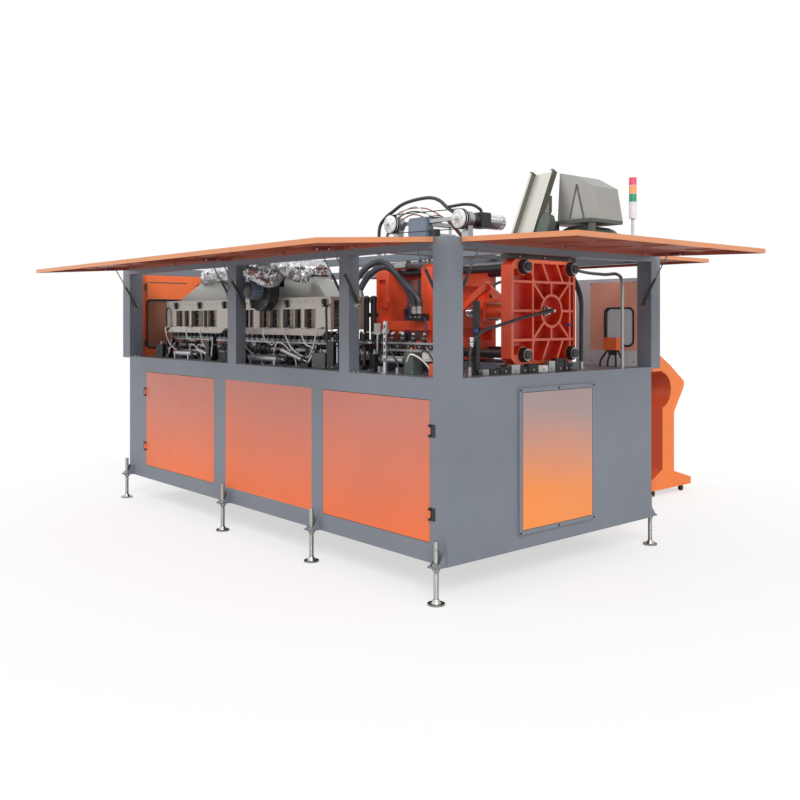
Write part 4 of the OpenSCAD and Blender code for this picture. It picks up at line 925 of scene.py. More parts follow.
@dataclass
class Canopy:
    """Six lifting flaps on gas struts, with their stiffeners and strut brackets."""

    hinge_z: float = 1985
    reach: float = 784
    hat_low: float = 4
    skin_low: float = 11.8
    hat_spacing: float = 520
    stud_z: float = 1650
    rim: float = 0.4
    lip_z: float = -13.5

    def flaps(self) -> dict[str, tuple[Matrix, float]]:
        """Places the flaps.

        Returns:
            Each flap's own frame at its hinge axis, with its length.
        """
        placed = {
            "front_flap_1": ((-2020, -976), 0, 3.6, 1749),
            "front_flap_2": ((-265, -976), 0, 3.6, 1342),
            "front_flap_3": ((1083, -976), 0, 3.6, 817),
            "right_flap": ((2016, -860), 90, 1.5, 1840),
            "back_flap_1": ((1900, 1081), 180, 0, 1953.5),
            "back_flap_2": ((-59.5, 1081), 180, 0, 1960.5),
        }
        frames = {}
        for name, ((x, y), yaw, droop, length) in placed.items():
            place = Matrix.Translation((x, y, self.hinge_z)) @ Matrix.Rotation(math.radians(yaw), 4, "Z")
            frames[name] = (place @ Matrix.Rotation(math.radians(droop), 4, "X"), length)
        return frames

    def dress(self) -> None:
        """Paints flaps in their pale orange on top and in a painted shade below, and finishes the struts."""
        for name, (frame, length) in self.flaps().items():

            def pick(at: Vector, way: Vector, frame: Matrix = frame, length: float = length) -> int:
                """Tells a tray's outer faces and rim from its inside.

                Args:
                    at: the face's middle.
                    way: its normal.
                    frame: the flap's own frame.
                    length: the flap's length.

                Returns:
                    0 outside, in the orange, and 1 inside, in the painted shade.
                """
                spot = frame.inverted() @ at
                top = (frame.to_3x3().inverted() @ way).z > 0.5
                ends = spot.x < self.rim or spot.x > length - self.rim
                lip = spot.y < self.rim - self.reach or spot.z < self.lip_z
                return 0 if top or ends or lip else 1

            # the insides of the trays get the painted shade
            dress_faces(name, (FLAP_ORANGE, FLAP_UNDER_SHADE), pick)
        for name in ("front_{}_1", "front_{}_2", "front_{}_3", "right_{}", "back_{}_1", "back_{}_2"):
            dress(BLACK_STEEL, name.format("cylinders"))
            dress(STRUT_ROD, name.format("rods"))

    def stiffeners(self) -> None:
        """Folds the hat channels under each flap and sets its corner brackets."""
        low, high = self.hat_low, self.skin_low
        for name, (frame, length) in self.flaps().items():
            piece = Blank(f"{name}_channels", FLAP_UNDER_SHADE, BRACKET_RED, PLASTIC_WHITE)
            piece.turn = frame
            count = max(2, round(length / self.hat_spacing))
            for k in range(count):
                x = length * (k + 0.5) / count
                if abs(x - length / 2) < 40:
                    x += 60
                half = ((-34, high), (-24, high), (-18, low))
                outline = [(x + dx, z) for dx, z in half] + [(x - dx, z) for dx, z in reversed(half)]
                piece.plate(outline, "xz", -self.reach + 6, -24)
            for y in (-self.reach + 70, -self.reach + 420):
                piece.plate([(y - 30, 11.6), (y - 16, 5), (y + 16, 5), (y + 30, 11.6)], "yz", 8, length - 8)
            for x, side in ((9, 1), (length - 9, -1)):
                near, far = sorted((x, x + 8 * side))
                piece.block((near, -self.reach + 560, -13), (far, -self.reach + 690, high), 1)
                for y in (-self.reach + 580, -self.reach + 670):
                    piece.rod((x + 8 * side, y, -6), (x + 9.5 * side, y, -6), 6, 2, 12)
            piece.settle(0.8, name)

    def strut_brackets(self) -> None:
        """Screws the lower strut brackets to the posts, with their washers and nuts."""
        piece = Blank("strut_brackets", ZINC, BLACK_STEEL)
        fronts = [(-2000, 1), (-328, -1), (-208, 1), (1030, -1), (1130, 1), (1887, -1)]
        backs = [(-2000, 1), (-116.5, -1), (3.5, 1), (1887, -1)]
        thick, axis = 4, self.stud_z
        low, high = axis - 32, axis + 26
        for y, faces in ((-900, fronts), (1005, backs)):
            shape = ((-22, low), (22, low), (22, high - 12), (10, high), (-10, high), (-22, high - 12))
            outline = [(y + dy, z) for dy, z in shape]
            for x, side in faces:
                piece.plate(outline, "yz", *sorted((x, x + side * thick)))
                for dy, z in ((14, axis - 22), (0, axis + 14)):
                    piece.hexagon((x + side * thick, y + dy, z), (side, 0, 0), 10, 4, 1)
                piece.ring((x + side * 6, y, axis), (side, 0, 0), 4.2, 9, 3)
        for y, side in ((-840, 1), (960, -1)):
            outline = [(1918, low), (1962, low), (1962, high), (1918, high)]
            piece.plate(outline, "xz", *sorted((y, y + side * thick)))
            piece.ring((1940, y + side * 6, axis), (0, side, 0), 4.2, 9, 3)
        piece.settle(0.6)

    def build(self) -> None:
        """Builds and dresses the canopy."""
        self.dress()
        self.stiffeners()
        self.strut_brackets()


@dataclass
class Ovens:
    """Two preform ovens with their lamp gear, hoods, foil duct, blower and wiring."""

    face_y: float = -770
    starts: Pair = (-1680, -490)
    lengths: Pair = (1040, 1180)
    windows: tuple[tuple[Pair, ...], ...] = (
        ((179, 295), (322, 400), (443, 637), (653, 712), (724, 846)),
        ((64, 150), (164, 206), (303, 425), (438, 569), (608, 746), (758, 832), (874, 998)),
    )
    window_z: Pair = (1484, 1614)
    duct_x: Pair = (-1304.0, 314.0)
    duct_y: float = -580
    duct_z: float = 1904
    duct_top: float = 1967
    duct_r: float = 66
    blower_at: Pair = (-75, 1752)
    motor_y: float = -851
    table_z: float = 1220

    def dress(self) -> None:
        """Finishes the ovens' CAD nodes."""
        dress(STAINLESS, "oven_housings")
        dress(HOOD_SHEET, "oven_hoods")
        dress(QUARTZ, "heater_lamps")
        dress_faces("oven_blower", (BLACK_STEEL, BLUE_GREY), lambda at, _way: 1 if at.y < self.motor_y else 0)
        dress(ALLOY, "blower_impeller")

    def window_spans(self) -> list[Pair]:
        """Gives both ends of each window along the machine."""
        return [(start + a, start + b) for start, row in zip(self.starts, self.windows) for a, b in row]

    def lamp_gear(self) -> None:
        """Hangs the lamp carriers and reflector strips behind the windows."""
        piece = Blank("oven_lamp_gear", PLASTIC_BLACK, CERAMIC, ZINC)
        low = self.window_z[0] - 4
        for x0, x1 in self.window_spans():
            wide = x1 - x0
            piece.block((x0 + 4, -744, low), (x0 + 4 + wide * 0.16, -722, 1622))
            piece.block((x1 - 4 - wide * 0.22, -744, low), (x1 - 4, -722, 1622))
            piece.block((x0 + 4 + wide * 0.3, -742, low), (x1 - 4 - wide * 0.3, -738, 1618), 1)
            for z in (1500, 1548, 1596):
                piece.rod((x0 + wide * 0.2, -736, z), (x1 - wide * 0.2, -736, z), 5, 2, 12)
        piece.settle(0.5)

    def trim(self) -> None:
        """Folds window frames, clips, brackets and the cooling tray on the oven fronts."""
        piece = Blank("oven_trim", STAINLESS, PLASTIC_BLACK, ZINC, TRAY_SHEET_PAINTED_LIGHT)
        y, border, (z0, z1) = self.face_y, 5, self.window_z
        tray = ((0, 1478), (-22, 1442), (-40, 1438), (-40, 1435), (-23, 1439), (0, 1473))
        for start, length, windows in zip(self.starts, self.lengths, self.windows):
            for a, b in windows:
                x0, x1 = start + a - border, start + b + border
                for low, high in ((z0 - border, z0), (z1, z1 + border)):
                    piece.block((x0, y - 2.5, low), (x1, y, high))
                for x in (x0, x1 - border):
                    piece.block((x, y - 2.5, z0), (x + border, y, z1))
            # the cooling tray takes the painted-light sheet
            piece.plate([(y + dy, z) for dy, z in tray], "yz", start + 70, start + length - 60, 3)
            piece.block((start + 20, -643, 1404), (start + length - 20, -637, 1462), 1)
            for k in range(int(length / 30)):
                piece.rod((start + 34 + 30 * k, -645, 1432), (start + 34 + 30 * k, -642, 1432), 9, 2, 12)
            piece.block((start, y - 3, 1686), (start + length, y, 1696))
            for k in range(14):
                x = start + 30 + (length - 60) * k / 13
                piece.turned((x, y - 2, 1664), FRONT, [(0, 4.5), (2, 4.5), (3, 2.5)], 2, 12)
            for share in (0.16, 0.55, 0.93):
                x = start + length * share
                piece.block((x, y - 18, 1628), (x + 26, y, 1682), 1)
                piece.rod((x + 13, y - 20, 1640), (x + 13, y - 8, 1640), 7, 2, 14)
        piece.settle(0.5)

    def hood_flanges(self) -> None:
        """Rivets the hoods to the ovens and clamps their outlets."""
        piece = Blank("hood_flanges", HOOD_SHEET, BLACK_STEEL, ZINC)
        hoods = (((200, 980), (380, 730)), ((40, 1090), (500, 800)))
        for start, (foot, neck) in zip(self.starts, hoods):
            a, b, c, d = (start + x for x in (*foot, *neck))
            for y in (-764, -510):
                piece.block((a - 14, y, 1696), (b + 14, y + 14, 1699))
            for k in range(12):
                x = a + (b - a) * (k + 0.5) / 12
                piece.turned((x, -757, 1699), UP, [(0, 4), (2, 3.4), (2.6, 1.5)], 2, 10)
            piece.block((c - 6, -644, 1842), (d + 6, -640, 1858), 1)
            for x in (c - 6, d + 2):
                piece.block((x, -644, 1842), (x + 4, -516, 1858), 1)
        piece.settle(0.6)

    def foil_duct(self) -> None:
        """Wraps the exhaust duct in crumpled foil, which stands for the plain duct."""
        rnd = random.Random(11)
        piece = Blank("foil_duct", FOIL, HOOD_SHEET)
        rings, sides, (x0, x1) = 150, 40, self.duct_x
        bumps = [
            (rnd.uniform(0, 1), rnd.uniform(0, 6.28), rnd.uniform(0.02, 0.07), rnd.uniform(4, 15))
            for _ in range(130)
        ]
        points = []
        for i in range(rings):
            share = i / (rings - 1)
            end = min(1.0, 14 * min(share, 1 - share) + 0.55)
            for k in range(sides):
                angle = 2 * math.pi * k / sides
                swell = self.duct_r + 7 * math.sin(share * 60 + math.sin(angle) * 2) + rnd.uniform(-2.2, 2.2)
                for at, side, wide, high in bumps:
                    near = ((share - at) / wide) ** 2 + (math.sin((angle - side) / 2) / 0.28) ** 2
                    if near < 6:
                        swell += high * math.exp(-near)
                swell *= end
                y = self.duct_y + swell * 1.12 * math.cos(angle)
                z = min(self.duct_top, self.duct_z - 6 + swell * math.sin(angle))
                points.append((x0 + (x1 - x0) * share, y, z))
        piece.add(points, ring_faces(rings, sides), 0)
        for low, high in ((-1300, -950), (10, 310)):
            piece.block((low, -638, 1850), (high, -522, 1900), 1)
        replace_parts(piece.settle(), "exhaust_duct")

    def blower_gear(self) -> None:
        """Bolts the inlet ring, motor cover and hanger to the oven blower."""
        piece = Blank("blower_gear", ALLOY, BLACK_STEEL, ZINC)
        x, z = self.blower_at
        piece.ring((x, -767, z), BACK, 89, 104, 7)
        for dx, dz in circle(139, 12, 12):
            piece.hexagon((x + dx, -848, z + dz), FRONT, 9, 5, 2)
        piece.turned((x, -939, z), FRONT, [(0, 56), (8, 56), (13, 50), (15, 20)], 1, 32)
        piece.block((x - 32, -918, z + 66), (x + 32, -872, z + 96), 1)
        piece.rod((x + 32, -895, z + 80), (x + 48, -895, z + 80), 9, 2, 14)
        for dx in (-118, 150):
            piece.block((x + dx, -838, z + 60), (x + dx + 5, -796, 1935), 2)
        piece.settle(0.8)

    def blower_foil(self) -> None:
        """Wraps the blower's upper half and its outlet in foil tubes that run to the duct."""
        rnd = random.Random(23)
        piece = Blank("blower_foil", FOIL)
        sides = 22
        for points, radius in (
            (
                [
                    (-240, -700, 1900), (-205, -800, 1915), (-150, -880, 1890), (-60, -905, 1868),
                    (40, -900, 1862), (120, -880, 1850), (190, -850, 1822),
                ],
                46,
            ),
            (
                [
                    (-160, -760, 1925), (-60, -830, 1926), (60, -850, 1918), (170, -830, 1900),
                    (240, -800, 1870), (300, -760, 1845), (330, -700, 1850),
                ],
                42,
            ),
            ([(-30, -905, 1850), (60, -915, 1820), (140, -905, 1800), (200, -880, 1812)], 34),
        ):
            line = piece.hose(points, radius, sides=sides, steps=12)
            first = len(piece.points) - len(line) * sides
            for i, middle in enumerate(line):
                ring = 1 + 0.13 * math.sin(i * 1.9) + rnd.uniform(-0.05, 0.05)
                for k in range(first + i * sides, first + (i + 1) * sides):
                    piece.points[k] = middle + (piece.points[k] - middle) * ring * rnd.uniform(0.86, 1.12)
        piece.settle()

    def wiring(self) -> None:
        """Runs the lamp cables from the oven fronts down to the table."""
        piece = Blank("oven_wiring", CABLE_CREAM, HOSE_BLACK, ZINC)
        for x, swing, low in (
            (-1600, 150, 1300), (-1230, 60, 1380), (-1000, 110, 1310), (-380, 170, 1290),
            (-60, 70, 1370), (210, 190, 1300), (420, 120, 1350), (600, -110, 1290),
        ):
            route = [
                (x, -776, 1486), (x + 2, -818, 1474), (x + swing * 0.1, -824, 1430),
                (x + swing * 0.45, -822, (low + 1440) / 2 - 20), (x + swing * 0.85, -816, low + 10),
                (x + swing * 1.1, -800, low - 10), (x + swing * 1.18, -784, low + 4),
            ]
            piece.hose(route, 5.5)
            piece.rod((x, -768, 1486), (x, -784, 1484), 8, 2, 14)
        for x, swing in ((-1640, 24), (668, 20)):
            route = [
                (x, -772, 1640), (x, -792, 1620), (x + swing * 0.3, -796, 1520),
                (x + swing * 0.8, -798, 1380), (x + swing, -796, 1290), (x + swing, -794, self.table_z + 2),
            ]
            piece.hose(route, 8, 1)
            piece.rod((x, -768, 1640), (x, -782, 1638), 10, 2, 14)
        piece.settle()

    def build(self) -> None:
        """Builds and dresses the ovens."""
        self.dress()
        self.lamp_gear()
        self.trim()
        self.hood_flanges()
        self.foil_duct()
        self.blower_gear()
        self.blower_foil()
        self.wiring()


@dataclass
class MandrelChain:
    """Oval chain that carries the preforms, with its drive."""

    left_x: float = -1690
    right_x: float = 910
    mid_y: float = -530
    pitch_r: float = 150
    link: float = 35
    tip_z: float = 1450.5
    body_z: float = 1404.5
    pin_z: float = 1394
    post_z: float = 1340
    motor_z: float = 1290.5

    def dress(self) -> None:
        """Finishes the chain's CAD nodes, with pale mandrel tips on dark mandrels."""

        def pick(at: Vector, _way: Vector) -> int:
            """Gives 1 for a mandrel's tip, 2 for its body and 0 for the chain."""
            return 1 if at.z > self.tip_z else 2 * (at.z > self.body_z)

        def pick_rail(at: Vector, _way: Vector) -> int:
            """Gives 1 for tips, 2 for mandrels and posts, and 0 for bars."""
            return 1 if at.z > self.tip_z else 2 * (at.z > self.body_z or at.z < self.post_z)

        dress_faces("mandrel_chain", (BLACK_STEEL, PLASTIC_WHITE, BLACK_STEEL), pick)
        dress_faces("chain_rails", (MILLED, PLASTIC_WHITE, BLACK_STEEL), pick_rail)
        dress(MILLED, "chain_wheel_left", "chain_wheel_right")
        dress_faces("chain_drive", (BLACK_STEEL, CAST_RED), lambda at, _way: 1 if at.z > self.motor_z else 0)

    def spot(self, along: float) -> tuple[Vector, float]:
        """Finds a place on the loop.

        Args:
            along: distance from the start of the front run.

        Returns:
            The place on the pitch line and the heading there, in radians.
        """
        run, arc = self.right_x - self.left_x, math.pi * self.pitch_r
        along %= 2 * (run + arc)
        back = along >= run + arc
        centre, side = (self.left_x, 1) if back else (self.right_x, -1)
        past = along - 2 * run - arc if back else along - run
        if past < 0:
            return Vector((centre + side * -past, self.mid_y + side * self.pitch_r, 0)), math.pi * back
        a = past / self.pitch_r + side * math.pi / 2
        x, y = centre + self.pitch_r * math.cos(a), self.mid_y + self.pitch_r * math.sin(a)
        return Vector((x, y, 0)), a + math.pi / 2

    def links(self) -> None:
        """Lays link plates and pin heads along the outside of the chain."""
        piece = Blank("chain_links", MILLED, BLACK_STEEL)
        total = 2 * (self.right_x - self.left_x) + 2 * math.pi * self.pitch_r
        count = int(total / self.link)
        low, mid, high = self.pin_z - 6, self.pin_z, self.pin_z + 6
        outline = [(-14, low), (14, low), (17, mid), (14, high), (-14, high), (-17, mid)]
        for k in range(count):
            at, heading = self.spot(k * total / count)
            piece.turn = Matrix.Translation(at) @ Matrix.Rotation(heading, 4, "Z")
            piece.plate(outline, "xz", -9.4 if k % 2 else -10.8, -8, k % 2)
            for x in (-9, 9):
                piece.rod((x, -12.6, mid), (x, -8, mid), 3, 0, 10)
        piece.settle()

    def mandrel_rings(self) -> None:
        """Puts spring rings and holder collars round the mandrels of the transfer row."""
        piece = Blank("mandrel_rings", MILLED, PLASTIC_BLACK, ZINC)
        y, first, pitch = -680, 1210, 100
        for x in range(first, first + 6 * pitch, pitch):
            piece.ring((x, y, 1412), UP, 12, 19, 10, 1)
            piece.ring((x, y, 1430), UP, 12, 15, 4)
            piece.block((x - 34, y - 42, 1366), (x + 34, y - 24, 1392), 1)
            piece.rod((x, y - 44, 1379), (x, y - 34, 1379), 6, 2, 12)
        piece.settle(0.5)

    def lower_bars(self) -> None:
        """Lays the bright bars under the front run, with their dark brackets."""
        piece = Blank("chain_lower_bars", MILLED, BLACK_STEEL, ZINC)
        spacing = 170
        for x0, x1 in ((-1640, -250), (-190, 1000)):
            piece.block((x0, -708, 1318), (x1, -696, 1338))
            piece.block((x0 + 60, -742, 1276), (x1 - 90, -734, 1294))
            count = int((x1 - x0) / spacing)
            for k in range(count + 1):
                x = x0 + 30 + (x1 - x0 - 60) * k / count
                piece.block((x - 12, -716, 1236), (x + 12, -708, 1366), 1)
                piece.block((x - 20, -748, 1221), (x + 20, -700, 1246), 1)
                piece.hexagon((x, -716, 1328), FRONT, 12, 6, 2)
        piece.settle(0.6)

    def build(self) -> None:
        """Builds and dresses the chain."""
        self.dress()
        self.links()
        self.mandrel_rings()
        self.lower_bars()


@dataclass
class TableTooling:
    """Pneumatic and drive gear that stands on the table in front of the chain."""

    top: float = 1220

    @staticmethod
    def cylinder(piece: Blank, start: Point, end: Point, size: float) -> None:
        """Adds a profile cylinder with end caps, ports and a chrome rod.

        Args:
            piece: the piece that takes it; its finishes are alloy, black, chrome and zinc.
            start: the rear end of its axis.
            end: the front end of its barrel.
            size: its outside width.
        """
        a, b = Vector(start), Vector(end)
        length, way, r, cap = (b - a).length, (b - a).normalized(), size / 2, 14
        barrel = [(0, r), (cap, r), (cap, r * 0.86), (length - cap, r * 0.86), (length - cap, r), (length, r)]
        piece.turned(start, b - a, barrel, 0, 28)
        piece.rod(end, b + way * 80, size * 0.16, 2)
        piece.turned(b + way * 62, way, [(0, size * 0.28), (24, size * 0.28)], 3, 6)
        for share in (0.14, 0.86):
            port = a + (b - a) * share + Vector((0, 0, r * 0.8))
            piece.turned(port, UP, [(0, 6), (12, 6), (13, 8), (22, 8)], 1, 12)

    def swing_arms(self) -> None:
        """Stands the black swing arms of the loading and transfer stations."""
        piece = Blank("swing_arms", PLASTIC_BLACK, ZINC, ALLOY)
        for x, z, length, lean in (
            (-1560, 1240, 150, 64), (-1545, 1300, 120, 20), (-830, 1236, 170, 80), (-330, 1236, 190, -58),
            (-120, 1240, 250, -22), (480, 1236, 170, 50), (820, 1240, 150, 90),
        ):
            piece.turn = Matrix.Translation((x, -800, z)) @ Matrix.Rotation(math.radians(-lean), 4, "Y")
            outline = [(0, -18), (length, -12), (length + 10, 0), (length, 12), (0, 18), (-14, 0)]
            piece.plate(outline, "xz", -16, 10)
            piece.rod((0, -22, 0), (0, 16, 0), 10, 1)
            piece.rod((length - 6, -22, 0), (length - 6, 16, 0), 8, 1)
            piece.plate([(22, -7), (length - 24, -5), (length - 24, 5), (22, 7)], "xz", -19, -16, 2)
        piece.turn = Matrix.Identity(4)
        for x in (-1574, -850, -344, -134, 466, 806):
            piece.block((x - 26, -824, self.top), (x + 30, -776, self.top + 26))
        piece.settle(1.0)

    def cylinders(self) -> None:
        """Lays the pneumatic cylinders between the swing arms."""
        piece = Blank("table_cylinders", ALLOY, PLASTIC_BLACK, CHROME, ZINC)
        for start, end, size in (
            ((-1440, -800, 1262), (-1160, -800, 1262), 54), ((-1060, -806, 1300), (-900, -806, 1270), 40),
            ((-250, -806, 1262), (120, -806, 1262), 60), ((180, -812, 1330), (420, -812, 1270), 44),
            ((1240, -790, 1300), (1460, -790, 1300), 50),
        ):
            self.cylinder(piece, start, end, size)
        for x in (-1420, -1190, -230, 90, 1260, 1430):
            piece.block((x - 10, -830, self.top), (x + 10, -776, 1256))
        piece.settle(0.8)

    def housings(self) -> None:
        """Stands the dark gear housings, valve blocks and sensor boxes."""
        piece = Blank("table_housings", PLASTIC_BLACK, DARK_GREEN, ZINC, CAST_RED, PLASTIC_WHITE)
        for low, high, kind in (
            ((-1760, -830, 1220), (-1640, -745, 1330), 0), ((-930, -820, 1220), (-860, -750, 1370), 0),
            ((-470, -830, 1220), (-400, -745, 1350), 0), ((540, -820, 1220), (690, -760, 1320), 1),
            ((720, -826, 1220), (790, -756, 1400), 0), ((1170, -830, 1220), (1215, -770, 1330), 0),
            ((1480, -815, 1220), (1560, -740, 1350), 1), ((1580, -700, 1290), (1700, -560, 1360), 3),
            ((1610, -800, 1300), (1680, -760, 1350), 4), ((1700, -820, 1220), (1800, -770, 1290), 3),
        ):
            piece.block(low, high, kind)
            knob = [(0, 11), (10, 11), (12, 7), (26, 7)]
            piece.turned(((low[0] + high[0]) / 2, low[1] + 22, high[2]), UP, knob, 2, 14)
            for x in (low[0] + 12, high[0] - 12):
                piece.hexagon((x, low[1], low[2] + 12), FRONT, 9, 4, 2)
        for x in range(-720, -720 + 8 * 22, 22):
            piece.block((x, -812, self.top), (x + 19, -762, 1290))
            piece.rod((x + 9.5, -806, 1290), (x + 9.5, -806, 1302), 5, 2, 10)
        piece.settle(1.0)

    def tubes(self) -> None:
        """Runs thin air tubes and sensor cables over the table."""
        piece = Blank("table_tubes", HOSE_BLACK, TUBE_BLUE, CABLE_CREAM, PLASTIC_WHITE)
        rnd = random.Random(5)
        for k in range(8):
            x = -711 + 22 * k
            reach, peak = rnd.uniform(-380, 420), rnd.uniform(1330, 1375)
            route = [
                (x, -806, 1300), (x, -806, 1325), (x + reach * 0.25, -812, peak),
                (x + reach * 0.6, -816, peak - 40), (x + reach * 0.9, -812, 1270), (x + reach, -806, 1222),
            ]
            piece.hose(route, 4, k % 2 if k % 3 else 0)
        for x, end, kind in (
            (-1400, -1600, 0), (-1190, -1000, 2), (-200, 150, 0), (60, 330, 2), (230, 600, 0), (640, 420, 0),
            (1250, 1420, 0), (1500, 1690, 2), (1620, 1760, 0),
        ):
            high, gap = 1290 + rnd.uniform(40, 90), end - x
            route = [
                (x, -812, 1290), (x + gap * 0.2, -820, high), (x + gap * 0.6, -820, high - 15),
                (end, -814, 1270), (end + 6, -806, 1222),
            ]
            piece.hose(route, 5, kind)
        piece.settle()

    def posts(self) -> None:
        """Stands the slotted chrome bar, the olive bar, the black post and the gripper block."""
        piece = Blank("bench_posts", CHROME, OLIVE, GUARD_ORANGE, PLASTIC_BLACK, ZINC)
        piece.block((1394, -906, self.top), (1414, -890, 1534))
        for z in range(1290, 1500, 40):
            piece.block((1399, -907.5, z), (1409, -905, z + 24), 3)
        piece.block((1386, -910, 1462), (1422, -884, 1484), 4)
        piece.block((1384, -912, self.top), (1424, -882, self.top + 12), 4)
        piece.block((1798, -560, self.top), (1830, -530, 1650), 3)
        piece.block((1160, 90, 1290), (1184, 114, 1684), 1)
        piece.block((1746, 770, 1334), (1852, 838, 1420), 2)
        for x, lean in ((1760, -34), (1790, -12), (1818, 14), (1842, 34)):
            falls = ((0, 800, 1336), (0.7, 792, 1300), (1.4, 784, 1262), (1.5, 780, 1222))
            piece.hose([(x + lean * share, y, z) for share, y, z in falls], 7, 3)
        piece.block((1780, 776, 1300), (1822, 820, 1336), 3)
        piece.settle(0.8)

    def valve_bank(self) -> None:
        """Sets the valve bank, cable trunks and relay boxes between and behind the chain's runs."""
        piece = Blank("valve_bank", PLASTIC_BLACK, ALLOY, DARK_GREEN, PLASTIC_WHITE, BLUE_GREY, TUBE_BLUE)
        rnd = random.Random(31)
        low = self.top + 1
        piece.block((-1500, -560, low), (760, -500, 1270))
        piece.block((-1600, -250, low), (560, -180, 1300))
        x = -1480.0
        while x < 720:
            wide, high = rnd.uniform(24, 90), rnd.uniform(1285, 1366)
            kind = rnd.choice((0, 0, 0, 1, 0, 2, 4, 0, 3))
            piece.block((x, -575, 1271), (x + wide - 6, -500, high), kind)
            mid = x + wide / 2
            if wide > 50:
                piece.rod((mid, -575, high - 24), (mid, -590, high - 24), 9, 1, 14)
            else:
                piece.rod((mid - 3, -540, high), (mid - 3, -540, high + 8), 7, 0 if kind else 5, 12)
            x += wide + rnd.choice((0, 0, 26))
        for k in range(9):
            x0 = -1560 + 230 * k
            far = (x0 + rnd.uniform(90, 200), -190, rnd.uniform(1350, 1440))
            piece.block((x0, -240, 1301), far, k % 3)
        for x0, x1, high, kind in ((1000, 1120, 1372, 0), (1180, 1300, 1330, 2), (1330, 1420, 1360, 0)):
            piece.block((x0, -560, low), (x1, -480, high), kind)
            mid = (x0 + x1) / 2
            piece.rod((mid, -562, high - 40), (mid, -580, high - 40), 22, 1, 20)
        piece.settle(1.0)

    def end_blocks(self) -> None:
        """Lines the table's right-hand edge with blocks, brackets and fittings."""
        piece = Blank("end_blocks", PLASTIC_BLACK, DARK_GREEN, PLASTIC_WHITE, ZINC, TUBE_BLUE, CHROME)
        rnd = random.Random(8)
        low, y = self.top + 1, -560.0
        while y < 270:
            deep = rnd.uniform(40, 110)
            kind = rnd.choice((0, 1, 0, 3, 0, 2))
            piece.block((1846, y, low), (1886, y + deep - 8, rnd.uniform(1246, 1300)), kind)
            piece.hexagon((1886, y + deep / 2 - 4, 1236), RIGHT, 12, 5, 3)
            y += deep
        piece.block((1800, -600, low), (1840, 280, 1236))
        for y, z in ((-585, 1470), (265, 1500)):
            piece.turned((1852, y, z), UP, [(0, 14), (18, 14)], 4, 18)
        for z in (1440, 1410):
            piece.turned((1850, -625, z), DOWN, [(0, 15), (10, 15), (10, 12), (26, 12)], 5, 6)
        piece.settle(0.8)

    def build(self) -> None:
        """Builds the gear on the table."""
        self.valve_bank()
        self.end_blocks()
        self.swing_arms()
        self.cylinders()
        self.housings()
        self.tubes()
        self.posts()


